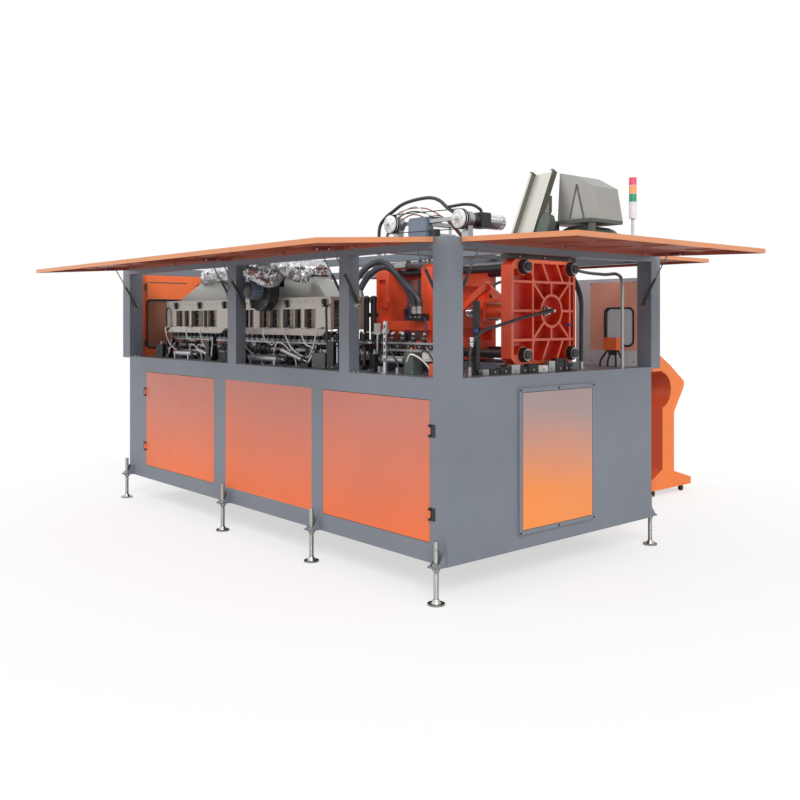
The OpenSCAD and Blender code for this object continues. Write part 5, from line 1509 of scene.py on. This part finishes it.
@dataclass
class ClampUnit:
    """Toggle clamp: ribbed end platen, platens, tie bars, mould halves and blow station."""

    face_x: float = 1800
    axis_y: float = 111
    axis_z: float = 1598
    mould_y: Pair = (-59, 281)
    station_x: float = 760
    bore_x: Pair = (1300.0, 1714.0)
    rib_x: Pair = (1744, 1794)
    pocket_y: Pair = (-220, 390)
    pocket_z: Pair = (1270, 1912)
    bridge_z: float = 1904
    column_off: float = 150
    carriage_z: float = 2129

    def dress(self) -> None:
        """Paints the castings; on the end platen the rib edges get a painted highlight and the recesses a
        painted shade.
        """

        def pick(at: Vector, way: Vector) -> int:
            """Tells the end platen's faces apart.

            Args:
                at: the face's middle.
                way: its normal.

            Returns:
                1 for rib edges, in the painted highlight, 2 for recess floors and 3 for rib walls, both in
                painted shade, and 0 for the rest.
            """
            # outward faces on the rib edges get the painted highlight, deeper ones the painted shade
            if way.x > 0.9:
                return 1 if at.x > self.rib_x[1] else 2
            (y0, y1), (z0, z1) = self.pocket_y, self.pocket_z
            return 3 if y0 < at.y < y1 and z0 < at.z < z1 and at.x > self.rib_x[0] else 0

        def pick_station(at: Vector, way: Vector) -> int:
            """Gives 1 for the guide columns and nozzles and 0 for the plates."""
            column = abs(abs(at.y - self.axis_y) - self.column_off) < 13
            return 1 if abs(way.z) < 0.9 and (at.z < self.bridge_z or column) else 0

        dress_faces("clamp_end_platen", (CAST_RED, CAST_EDGE_HIGHLIGHT, CAST_DEEP_SHADE, CAST_WALL_SHADE), pick)
        dress(CAST_RED, "clamp_fixed_platen", "clamp_moving_platen", "clamp_cylinder")
        dress(CAST_RED, "toggle_rear_links", "toggle_front_links")
        dress(FRAME_GREY, "clamp_bed")
        dress(BLACK_STEEL, "clamp_tie_bars")
        dress(ALLOY, "mould_half_fixed", "mould_half_moving")
        dress(CHROME, "clamp_rod")
        dress_faces("blow_station", (MILLED, CHROME), pick_station)
        dress_faces("stretch_carriage", (ALLOY, CHROME), lambda at, _way: int(at.z < self.carriage_z))

    def toggle_caps(self) -> None:
        """Caps the toggle pins and greases them."""
        nipple = [(0, 4), (8, 4), (9, 2), (12, 3)]
        for name, body, x, shift in (
            ("rear_pin_caps", "machine", 1640.0, 0.3),
            ("front_pin_caps", "moving_platen", 1160.0, -20.3),
        ):
            piece = Blank(name, MILLED, BRASS)
            for y in (-29, 251):
                for at, side in ((y + shift - 15.5, -1), (y + shift + 35.5, 1)):
                    way, face = (0, side, 0), at + side * 7
                    piece.turned((x, at, self.axis_z), way, [(0, 26), (5, 26), (7, 22)], 0, 28)
                    for dx, dz in circle(15, 3, 90):
                        piece.hexagon((x + dx, face, self.axis_z + dz), way, 7, 4)
                    piece.turned((x, face, self.axis_z), way, nipple, 1, 12)
            piece.settle(0.4, body)

    def mould_fittings(self) -> None:
        """Screws the mould halves to their platens and fits their water nipples."""
        for name, body, x0, x1, way in (
            ("fixed_mould_fittings", "machine", 640, 760, 1),
            ("moving_mould_fittings", "moving_platen", 860, 980, -1),
        ):
            piece = Blank(name, BLACK_STEEL, BRASS, TUBE_BLUE, HOSE_BLACK)
            root = x0 if way > 0 else x1
            xa, xb = sorted((root, root + 22 * way))
            for z in (1420, 1598, 1776):
                for y, side in zip(self.mould_y, (-1, 1)):
                    low, high = sorted((y, y + side * 24))
                    piece.block((xa, low, z - 22), (xb, high, z + 22))
                    piece.hexagon((root + 22 * way, y + side * 12, z), (way, 0, 0), 14, 8)
            front = self.mould_y[0]
            for k, z in enumerate((1490, 1560, 1640, 1700)):
                x = (x0 + x1) / 2 + (14 if k % 2 else -14)
                piece.turned((x, front, z), FRONT, [(0, 9), (9, 9), (10, 6), (20, 6)], 1, 12)
                route = ((-15, z), (-33, z), (-45, z - 40), (-47, z - 90), (-45, 1420), (-33, 1330))
                piece.hose([(x, front + dy, high) for dy, high in route], 5, 2 if k % 2 else 3, sides=10)
            piece.settle(0.5, body)

    def platen_hardware(self) -> None:
        """Fits nut washers, lifting eyes and the hub's fitting to the end platen."""
        piece = Blank("platen_hardware", BLACK_STEEL, ZINC, MILLED, DARK_BROWN)
        y0, z0 = self.axis_y, self.axis_z
        for z in (1919, 1240):
            piece.block((1716, -232, z), (1798, 402, z + 27), 3)
            for y in (-150, 85, 330):
                piece.hexagon((1798, y, z + 13), RIGHT, 13, 7, 1)
        for y in (-118, 340):
            for z in (1326, 1870):
                piece.ring((self.face_x + 2.2, y, z), RIGHT, 28.5, 48, 4)
                piece.ring((self.face_x + 39, y, z), RIGHT, 29, 38, 4, 2)
        hub = [(0, 36), (14, 36), (18, 30), (52, 30), (54, 24), (72, 24)]
        piece.turned((1744, y0, z0), RIGHT, hub, 1, 28)
        piece.rod((1816, y0, z0), (1840, y0 + 4, z0), 13, 2)
        for dy, dz in circle(29, 6, 30):
            piece.hexagon((1762, y0 + dy, z0 + dz), RIGHT, 9, 5)
        for y in (-60, 230):
            eye = ((-16, 1918), (-18, 1938), (0, 1952), (18, 1938), (16, 1918))
            piece.hose([(1757, y + dy, z) for dy, z in eye], 6, 1)
        piece.settle(0.6)

    def cylinder_dress(self) -> None:
        """Ties the clamp cylinder and fits its air ports."""
        piece = Blank("clamp_cylinder_dress", MILLED, BLACK_STEEL, BRASS, HOSE_BLACK)
        x0, x1 = self.bore_x
        for y in (self.axis_y - 48, self.axis_y + 48):
            for z in (self.axis_z - 48, self.axis_z + 48):
                piece.rod((x0 - 10, y, z), (x1 - 2, y, z), 6, 0, 12)
                piece.hexagon((x0, y, z), LEFT, 16, 9, 1)
        for x in (1310, 1700):
            piece.turned((x, self.axis_y, 1662), UP, [(0, 13), (12, 13), (14, 9), (26, 9)], 2, 14)
        route = [
            (1310, 111, 1688), (1310, 111, 1730), (1320, 140, 1780), (1340, 220, 1800),
            (1350, 300, 1760), (1352, 330, 1600), (1352, 340, 1420), (1352, 340, 1266),
        ]
        piece.hose(route, 9, 3)
        piece.settle(0.5)

    def nozzles(self) -> None:
        """Fits the blow nozzles' flanges, the bridge cylinder's caps and its air lines."""
        piece = Blank("nozzle_fittings", MILLED, BLACK_STEEL, BRASS, TUBE_BLUE, HOSE_BLACK)
        x, port = self.station_x, self.station_x + 48
        for k in (-1, 0, 1):
            y = self.axis_y + 100 * k
            piece.ring((x, y, 1898), UP, 20, 34, 8)
            piece.ring((x, y, 1846), UP, 20, 25, 10, 1)
            piece.turned((port, y, 1930), UP, [(0, 11), (14, 11), (16, 8), (30, 8)], 2, 14)
            route = [
                (port, y, 1958), (812, y, 1990), (822, y + 20, 2040), (845, y + 60, 2080),
                (866, y + 130, 2070), (872, 330, 2030), (874, 380, 2002),
            ]
            piece.hose(route, 8, 4 if k else 3)
        cap = [(0, 48), (10, 48), (10, 42), (44, 42), (44, 47), (54, 47), (56, 40)]
        piece.turned((x, self.axis_y, 2237), UP, cap, 1, 32)
        for y in (-39, 261):
            piece.hexagon((x, y, 2237), UP, 26, 14, 1)
        piece.settle(0.5)

    def build(self) -> None:
        """Builds and dresses the clamp unit."""
        self.dress()
        self.toggle_caps()
        self.mould_fittings()
        self.platen_hardware()
        self.cylinder_dress()
        self.nozzles()


@dataclass
class Guards:
    """Upper frame, left end wall with its leaves, rear guard and their windows."""

    wall_x: float = -2070
    leaf_first: float = -790
    leaf_width: float = 463
    leaf_pitch: float = 514
    wall_z: Pair = (1290, 1715)
    rear_low: Pair = (1620, 1360)
    rear_high: Pair = (1857, 1622)
    corner: float = 40
    wall_end: float = -2000

    def dress(self) -> None:
        """Paints the frame and guards, the rear guard and its panels in the paler painted-light colours."""
        dress(FRAME_GREY, "upper_frame")
        dress(REAR_GREY_PAINTED_LIGHT, "rear_guard")
        dress_faces("guard_panels", (GUARD_ORANGE, REAR_ORANGE_PAINTED_LIGHT), lambda at, _way: int(at.x >= self.wall_end))
        dress_faces("guard_windows", (BROWN_WINDOW, WINDOW), lambda at, _way: int(at.x >= self.wall_end))

    def rounded(self, low: Pair, high: Pair) -> list[Pair]:
        """Draws a rectangle with round corners.

        Args:
            low: its lower corner.
            high: its upper corner.

        Returns:
            The points round it.
        """
        r = self.corner
        xs, ys = (low[0] + r, high[0] - r), (low[1] + r, high[1] - r)
        points = []
        for x, y, first in ((xs[1], ys[1], 0), (xs[0], ys[1], 90), (xs[0], ys[0], 180), (xs[1], ys[0], 270)):
            points += [(x + dx, y + dy) for dx, dy in circle(r, 12, first)[:4]]
        return points

    def leaves(self) -> list[float]:
        """Gives the place across the machine where each leaf of the end wall starts."""
        return [self.leaf_first + i * self.leaf_pitch for i in range(3)]

    def gaskets(self) -> None:
        """Presses the black rubber gaskets round the windows."""
        piece = Blank("window_gaskets", PLASTIC_BLACK)
        for y0 in self.leaves():
            outline = self.rounded((y0 + 12, self.wall_z[0]), (y0 + self.leaf_width - 12, self.wall_z[1]))
            for x in (self.wall_x - 3, self.wall_x + 27):
                piece.hose([(x, y, z) for y, z in outline], 9, sides=10, steps=2, loop=True)
        outline = self.rounded(self.rear_low, self.rear_high)
        for y in (957, 977):
            piece.hose([(x, y, z) for x, z in outline], 7, sides=10, steps=2, loop=True)
        piece.settle()

    def leaf_gear(self) -> None:
        """Hangs the leaves of the end wall: hinge strips, handles and stops."""
        piece = Blank("guard_leaf_gear", BROWN_TRIM, BLACK_STEEL, ZINC)
        inner = self.wall_x + 24
        for y0 in self.leaves():
            piece.block((inner, y0 + 6, 1730), (inner + 3, y0 + 14, 1880))
            for z in (1300, 1800):
                piece.rod((inner + 4, y0 - 4, z), (inner + 4, y0 - 4, z + 60), 6, 1, 14)
            y1 = y0 + self.leaf_width - 20
            handle = ((0, 1560), (20, 1566), (22, 1620), (20, 1674), (0, 1680))
            piece.hose([(inner + dx, y1, z) for dx, z in handle], 6, 1)
            piece.block((inner, y0 + 40, 1868), (inner + 3, y0 + 400, 1876))
        for x in (1500, 1860):
            for z in (1250, 1800):
                piece.hexagon((x, 960, z), FRONT, 12, 5, 2)
        piece.settle(0.5)

    def frame_fittings(self) -> None:
        """Bolts the posts to the table and joins the rails."""
        piece = Blank("frame_bolts", ZINC)
        for xs, ys, z, across, high in (
            ((-1950, -350, -190, 1012, 1148, 1870), (-935, -900), 1220, 14, 8),
            ((-268, 1080, 1785), (-820, -300, 500, 960), 2000, 16, 9),
        ):
            for x in xs:
                for y in ys:
                    piece.hexagon((x, y, z), UP, across, high)
        piece.settle()

    def build(self) -> None:
        """Builds and dresses the guards."""
        self.dress()
        self.gaskets()
        self.leaf_gear()
        self.frame_fittings()


@dataclass
class RoofGear:
    """Belt axis, hose loops, preform chute and hood on the roof, and the signal lamp."""

    right_at: Pair = (1400, 2190)
    left_at: Pair = (720, 2206)
    rear_y: float = -226
    lamp_at: Pair = (1800, 1035)
    lens_r: float = 27.0
    roof_z: float = 2000
    chute_foot: Point = (1375, 232, 2012)
    chute_head: Point = (1375, 480, 2548)
    belt_teeth: int = 86
    belt_r: float = 66
    disc_deep: float = 22
    gearbox_y: Pair = (-181, -36)
    box_x: Pair = (850, 1050)
    box_top: float = 2226
    bed_x: Pair = (1377.5, 1572.5)
    hood_low: float = 2199.5

    def dress(self) -> None:
        """Finishes the roof's CAD nodes."""

        def pick(at: Vector, _way: Vector) -> int:
            """Tells the belt axis's parts apart.

            Args:
                at: the face's middle.
                _way: its normal, which isn't needed.

            Returns:
                0 for discs, 1 for the motor, 2 for the gearbox, 3 for the box and 4 for the beam.
            """
            if at.y < self.rear_y - self.disc_deep:
                return 0
            if self.box_x[0] < at.x < self.box_x[1] and at.z < self.box_top:
                return 3
            if at.y > self.gearbox_y[1]:
                return 1
            return 2 if at.y > self.gearbox_y[0] else 4

        def pick_chute(at: Vector, way: Vector) -> int:
            """Gives 1 for the chute's outer sides and 0 for its bed."""
            return 1 if abs(way.x) > 0.9 or at.x < self.bed_x[0] or at.x > self.bed_x[1] else 0

        dress_faces("roof_drive", (PLASTIC_WHITE, ALLOY, BLACK_STEEL, BLUE_GREY, MILLED), pick)
        dress_faces("preform_chute", (CHUTE_SHEET, OLIVE), pick_chute)
        dress_faces("chute_hood", (HOOD_SHEET, DARK_GREEN), lambda at, _way: int(at.z < self.hood_low))

    def pulleys(self) -> None:
        """Stacks the black and white discs on both pulleys."""
        piece = Blank("belt_pulleys", PLASTIC_WHITE, PLASTIC_BLACK, MILLED)
        y = self.rear_y - 60
        for x, z in (self.right_at, self.left_at):
            disc = [(0, 60), (5, 58), (8, 50), (8, 26), (14, 24), (16, 16)]
            piece.turned((x, y, z), FRONT, disc, 0, 40)
            piece.turned((x, y - 12, z), FRONT, [(0, 15), (8, 15), (10, 11)], 2, 24)
            for dx, dz in circle(40, 6):
                piece.hexagon((x + dx, y - 8, z + dz), FRONT, 8, 4, 2)
            for dy, inner, outer, high, kind in (
                (10, 61, 67, 8, 1), (28, 61, 67, 8, 1), (42, 30, 56, 9, 1), (52, 30, 50, 7, 0),
            ):
                piece.ring((x, y + dy, z), BACK, inner, outer, high, kind)
        piece.settle(0.4)

    def belt(self) -> None:
        """Lays the toothed belt over and under the pulleys."""
        piece = Blank("toothed_belt", PLASTIC_BLACK)
        (xa, za), (xb, zb) = self.left_at, self.right_at
        slope = (zb - za) / (xb - xa)
        y0, y1 = self.rear_y - 48, self.rear_y - 40
        for side in (-1, 1):
            for k in range(self.belt_teeth):
                x0 = xa + (xb - xa) * k / self.belt_teeth
                x1 = xa + (xb - xa) * (k + 0.55) / self.belt_teeth
                z = za + slope * (x0 - xa) + side * self.belt_r
                low, high = sorted((z - side * 1.5, z - side * 4.5))
                piece.block((x0, y0, low), (x1, y1, high))
            inner, outer = side * (self.belt_r - 1.5), side * (self.belt_r + 1)
            outline = [(xa, za + inner), (xb, zb + inner), (xb, zb + outer), (xa, za + outer)]
            piece.plate(outline, "xz", y0, y1)
        piece.settle()

    def motor_fins(self) -> None:
        """Turns the roof motor's bright rings and sets the boxes beside the belt axis."""
        piece = Blank("roof_motor_fins", CHROME, BLACK_STEEL, BLUE_GREY, ZINC)
        x, z = self.right_at
        fins = [(9 * k + far, r) for k in range(12) for far, r in ((4, 47), (6, 51), (10, 51), (12, 47))]
        piece.turned((x, -34, z), BACK, [(0, 47), *fins, (140, 47)], 0, 40)
        piece.turned((x, 106, z), BACK, [(0, 50), (5, 50), (9, 44), (10, 14)], 0, 40)
        for k in range(7):
            y = self.rear_y - 6 + k * 8
            piece.block((864, y, 2225), (1036, y + 3, 2237), 2)
        for low, high, kind in (
            ((1052, -215, 2030), (1110, -170, 2150), 1), ((760, -180, 2010), (840, -120, 2120), 2),
            ((900, -170, 2010), (980, -110, 2180), 2), ((1130, -190, 2010), (1230, -140, 2080), 3),
        ):
            piece.block(low, high, kind)
        piece.rod((846, self.rear_y + 20, 2130), (858, self.rear_y + 20, 2130), 22, 3)
        piece.settle(0.5)

    def loose_cables(self) -> None:
        """Hangs thin cables inside the hose loops and along the roof."""
        piece = Blank("roof_cables", CABLE_RED, HOSE_BLACK, CABLE_CREAM, PLASTIC_BLACK)
        low = self.roof_z + 2
        for k, (dx, high, kind) in enumerate(((0, 2330, 0), (30, 2308, 1), (60, 2286, 0), (84, 2340, 2))):
            y = -196 - 6 * k
            route = [
                (560 + dx * 0.4, y, low), (572 + dx * 0.5, y, 2120), (660 + dx, y, high - 70),
                (800 + dx, y + 4, high - 20), (980, y + 12, high - 30 - dx * 0.3),
                (1110 - dx, y + 30, high - 90), (1180, -160 + 4 * k, 2190 + 8 * k),
                (1240, -150 + 6 * k, 2130 + 6 * k), (1290, -140 + 5 * k, 2070 + 4 * k),
                (1300, -130 + 5 * k, low),
            ]
            piece.hose(route, 4.5, kind, sides=10)
        for x0, x1, y, high in ((1650, 1860, 900, 2130), (1610, 1800, 860, 2110), (1690, 1900, 940, 2120)):
            route = [
                (x0, y, low), (x0 + 14, y, 2060), (x0 + 60, y, high), (x1 - 60, y + 12, high - 10),
                (x1 - 10, y + 20, 2060), (x1, y + 20, low),
            ]
            piece.hose(route, 10, 1)
        piece.settle()

    def chute_gear(self) -> None:
        """Adds the chute's edge strips, guide rods, clamp and drive housing."""
        piece = Blank("chute_gear", BROWN_TRIM, CHROME, ALLOY, DARK_GREEN, BLACK_STEEL)
        rise = Vector(self.chute_head) - Vector(self.chute_foot)
        length, slope = rise.length, math.atan2(rise.z, rise.y)
        piece.turn = Matrix.Translation(self.chute_foot) @ Matrix.Rotation(slope, 4, "X")
        for x in (-3, 182):
            piece.block((x, 6, -4), (x + 21, length - 4, -2))
            piece.block((x, length - 10, -4), (x + 21, length - 2, 46))
        for x in (166, 150):
            piece.rod((x, 4, -12), (x, length * 0.5, -12), 5, 1)
        for y in (60, 250):
            piece.block((140, y, -16), (182, y + 16, -4), 2)
        piece.block((128, length * 0.47, -34), (206, length * 0.5, -4), 2)
        for x, radius, low in ((160, 9, -62), (190, 7, -56)):
            piece.rod((x, length * 0.49, -34), (x, length * 0.49, low), radius, 1)
        housing = [(206, 40), (300, 40), (300, 200), (262, 262), (226, 240), (206, 200)]
        piece.plate(housing, "xy", -40, 30, 3)
        for x in (222, 240):
            piece.rod((x, 36, -52), (x, 300, -52), 6, 1)
        piece.turned((252, 120, -40), DOWN, [(0, 30), (8, 30), (10, 22), (16, 22)], 4, 28)
        piece.settle(0.8)

    def hood_gear(self) -> None:
        """Edges the hood's slot, glazes it and lays the curved cover under it."""
        piece = Blank("hood_gear", BROWN_TRIM, DARK_GREEN, ZINC, HOOD_SHEET, HOOD_PANE)
        slot = [(1697, 2220), (1753, 2442), (1812, 2212)]
        for a, b in zip(slot, slot[1:]):
            way = Vector((b[0] - a[0], b[1] - a[1])).normalized()
            side = Vector((way.y, -way.x)) * 5
            outline = [Vector(a) - side, Vector(b) - side, Vector(b) + side, Vector(a) + side]
            piece.plate(outline, "xz", 466, 470)
        piece.plate([(slot[0][0], 2216), slot[1], (slot[2][0], 2216)], "xz", 470.5, 472.5, 4)
        arch = [math.pi * k / 12 for k in range(13)]
        piece.plate([(1760 - 170 * math.cos(a), 2092 + 76 * math.sin(a)) for a in arch], "xz", 460, 690, 1)
        piece.block((1600, 470, 2010), (1930, 690, 2092), 1)
        piece.settle(0.8)

    def signal_lamp(self) -> None:
        """Stacks the signal lamp's coloured lenses on its white pole; it stands for the CAD lamp."""
        piece = Blank("signal_lamp", PLASTIC_WHITE, LENS_WHITE, LENS_GREEN, LENS_AMBER, LENS_RED)
        (x, y), lens = self.lamp_at, self.lens_r
        foot = (x, y, self.roof_z)
        piece.turned(foot, UP, [(0, 24), (6, 24), (8, 20), (8, 11), (246, 11), (250, lens)], 0, 36)
        for low, high, kind in ((250, 366, 1), (366, 424, 2), (424, 482, 3), (482, 536, 4)):
            ribs: list[Pair] = [(low, lens)]
            for far in range(low, low + 9 * ((high - low) // 9), 9):
                ribs += [(far + 3, lens), (far + 5, lens - 1), (far + 8, lens)]
            piece.turned(foot, UP, [*ribs, (high, lens)], kind, 36)
        for z in (2366, 2424, 2482):
            piece.ring((x, y, z), UP, 24, 28, 4)
        piece.turned((x, y, 2536), UP, [(0, lens), (2, lens - 2), (4, 12)], 4, 36)
        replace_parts(piece.settle(), "stack_light")

    def build(self) -> None:
        """Builds and dresses the roof gear."""
        self.dress()
        self.pulleys()
        self.belt()
        self.motor_fins()
        self.loose_cables()
        self.chute_gear()
        self.hood_gear()
        self.signal_lamp()


HOSE_ROUTES: dict[str, tuple[float, list[Point]]] = {
    "mould_hose_left": (21, [
        (620, -540, 1696), (620, -540, 1760), (690, -480, 1890), (771, -400, 1938), (880, -350, 1840),
        (965, -300, 1700), (985, -290, 1636), (985, -290, 1582),
    ]),
    "mould_hose_right": (21, [
        (662, -500, 1696), (662, -500, 1750), (720, -450, 1860), (800, -380, 1900), (918, -328, 1796),
        (1018, -296, 1690), (1035, -290, 1636), (1035, -290, 1582),
    ]),
    "platen_cable": (10, [
        (1814, 111, 1598), (1836, 108, 1598), (1852, 70, 1596), (1856, -100, 1570), (1856, -372, 1514),
        (1854, -526, 1477), (1850, -620, 1403), (1850, -640, 1300), (1850, -640, 1220.3),
    ]),
    "side_hose_front": (12, [
        (1830, 420, 1220.3), (1830, 420, 1290), (1832, 418, 1500), (1826, 420, 1690), (1760, 424, 1830),
        (1710, 420, 1900), (1710, 420, 1949.7),
    ]),
    "side_hose_rear": (12, [
        (1800, 452, 1220.3), (1800, 452, 1290), (1802, 450, 1500), (1796, 448, 1690), (1720, 436, 1830),
        (1660, 420, 1900), (1660, 420, 1949.7),
    ]),
    "roof_loop_large": (12, [
        (500, -200, 2000.3), (500, -200, 2060), (508, -200, 2205), (576, -200, 2270), (660, -200, 2309),
        (753, -200, 2346), (856, -200, 2363), (979, -200, 2369), (1065, -200, 2362), (1140, -200, 2335),
        (1202, -200, 2289), (1254, -202, 2258), (1288, -205, 2241), (1288, -205, 2218.3),
    ]),
    "roof_loop_small": (10, [
        (1202, -200, 2289), (1262, -200, 2289), (1330, -172, 2296), (1384, -138, 2290), (1410, -108, 2268),
        (1414, -92, 2254), (1414, -92, 2240.3),
    ]),
    "rear_pipe": (11, [
        (1950, 700, 1220.3), (1950, 700, 1330), (1950, 700, 1640), (1946, 702, 1790), (1900, 712, 1846),
        (1780, 716, 1850), (1600, 690, 1880), (1480, 600, 1950), (1450, 520, 1975), (1450, 450.3, 1975),
    ]),
}


@dataclass
class Hoses:
    """Hoses and cables that the machine holds from end to end; they stand for the CAD hoses."""

    routes: dict[str, tuple[float, list[Point]]] = field(default_factory=lambda: HOSE_ROUTES)
    port_x: Pair = (985, 1035)
    port_y: float = -290
    columns: tuple[Pair, ...] = ((505, -320), (560, -300))
    beam_y: float = -261.5

    @staticmethod
    def ferrule(piece: Blank, at: Vector, after: Vector, radius: float) -> None:
        """Crimps a ferrule with its nut over a hose's end.

        Args:
            piece: the hose's piece, whose second finish is zinc.
            at: the hose's end.
            after: the next point along the hose.
            radius: the hose's radius.
        """
        steps = ((0, 3), (8, 3), (8, 5), (20, 5), (22, 2), (48, 2), (50, 0))
        piece.turned(at, after - at, [(far, radius + extra) for far, extra in steps], 1, 24)

    def manifold(self) -> None:
        """Makes the block that takes the mould's hoses, and the columns that the others leave from."""
        piece = Blank("hose_manifold", BLACK_STEEL, ZINC, TUBE_BLUE)
        piece.block((950, -305, 1534), (1070, -235, 1582))
        for x in (968, 1010, 1052):
            piece.hexagon((x, -305, 1558), FRONT, 14, 7, 1)
        for x in self.port_x:
            piece.turned((x, self.port_y, 1582), UP, [(0, 27), (12, 27), (14, 24), (22, 24)], 1, 6)
        drain = [
            (1070, -290, 1548), (1086, -290, 1546), (1098, -292, 1500),
            (1100, -296, 1400), (1100, -300, 1222),
        ]
        piece.hose(drain, 5, 2)
        column = [(0, 30), (12, 30), (14, 21), (440, 21), (442, 25), (480, 25), (490, 12)]
        for x, y in self.columns:
            piece.turned((x, y, 1221), UP, column)
            piece.block((x - 10, y + 20, 1560), (x + 10, self.beam_y, 1590))
        piece.settle(1.0)

    def build(self) -> None:
        """Sweeps each hose along its route, fits its ends and makes the manifold."""
        made = []
        for name, (radius, route) in self.routes.items():
            piece = Blank(name, ZINC if name == "rear_pipe" else HOSE_BLACK, ZINC)
            line = piece.hose(route, radius, steps=9, sides=18)
            if name != "roof_loop_small":
                self.ferrule(piece, line[0], line[1], radius)
            if not name.startswith("roof"):
                self.ferrule(piece, line[-1], line[-2], radius)
            made.append(piece.settle())
        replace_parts(made[0], "machine_hoses")
        self.manifold()


@dataclass
class Console:
    """Operator console on castors, standing behind the machine."""

    at: Pair = (1050, 2900)
    width: float = 520
    screen_at: Pair = (-110, 1062)
    screen_run: Pair = (-213, 145)
    desk_at: Pair = (-295, 1180)
    desk_run: Pair = (-158, 90)
    castor_top: float = 56
    recess_out: Pair = (-495, -150)
    recess_z: Pair = (160, 1095)

    def tilted(self, place: Pair, run: Pair) -> Matrix:
        """Finds the frame of a sloping face.

        Args:
            place: a place on it, out from the console's own zero and up.
            run: how far it runs out and up.

        Returns:
            The frame, which lies flat on the face.
        """
        slope = math.atan2(run[1], run[0]) - math.pi
        spot = (self.at[0] - self.width / 2, self.at[1] + place[0], place[1])
        return Matrix.Translation(spot) @ Matrix.Rotation(slope, 4, "X")

    def dress(self) -> None:
        """Paints the console's shell, a painted shade in the recess on its far side, and its castors."""

        def pick(at: Vector, way: Vector) -> int:
            """Tells the console's parts apart.

            Args:
                at: the face's middle.
                way: its normal.

            Returns:
                2 for the castors, 1 for the recess, which is painted shade, and 0 for the shell.
            """
            if at.z < self.castor_top:
                return 2
            (y0, y1), (z0, z1) = self.recess_out, self.recess_z
            inside = y0 < at.y - self.at[1] < y1 and z0 < at.z < z1
            return 1 if abs(way.x) < 0.5 and way.y < 0.3 and inside else 0

        dress_faces("operator_console", (CONSOLE_ORANGE, CONSOLE_SHADE, BLACK_STEEL), pick)

    def fittings(self) -> None:
        """Fits the screen, buttons, stop knob, vents and castor tyres."""
        piece = Blank("console_fittings", PLASTIC_BLACK, SCREEN, CAST_RED, LENS_GREEN, ZINC, PLASTIC_WHITE)
        piece.turn = self.tilted(self.screen_at, self.screen_run)
        piece.block((-190, -100, 0), (190, 100, 7))
        piece.block((-172, -84, 7), (172, 84, 8.5), 1)
        piece.turn = self.tilted(self.desk_at, self.desk_run)
        for x, kind in ((-150, 3), (-90, 5), (-30, 5), (30, 2)):
            piece.turned((x, 0, 0), UP, [(0, 14), (4, 14), (4, 11), (9, 11), (10, 8)], kind, 24)
            piece.ring((x, 0, 2), UP, 14, 17, 4, 4)
        piece.turned((170, 0, 0), UP, [(0, 13), (14, 13), (16, 26), (24, 27), (30, 20), (31, 8)], 2, 28)
        piece.turn = Matrix.Identity(4)
        x0, y0 = self.at[0] - self.width / 2 - 90, self.at[1] - 504
        for z in range(1110, 1110 + 8 * 12, 12):
            piece.block((x0, y0, z), (x0 + 180, y0 + 3, z + 5))
        for x in (self.at[0] - 40, self.at[0] - self.width + 40):
            for out in (-440, 6):
                tyre = [(0, 20), (3, 25.2), (23, 25.2), (26, 20)]
                piece.turned((x - 13, self.at[1] + out, 25), RIGHT, tyre, 0, 28)
        piece.settle(0.8)

    def build(self) -> None:
        """Builds and dresses the console."""
        self.dress()
        self.fittings()


def main() -> None:
    """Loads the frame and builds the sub-assemblies in order."""
    logging.basicConfig(level=logging.INFO, format="%(message)s")
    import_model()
    Studio().build()
    for kind in (
        Cabinet, Canopy, Ovens, MandrelChain, TableTooling, ClampUnit, Guards, RoofGear, Hoses, Console,
    ):
        kind().build()
        LOG.info("built %s", kind.__name__)


if __name__ == "__main__":
    main()
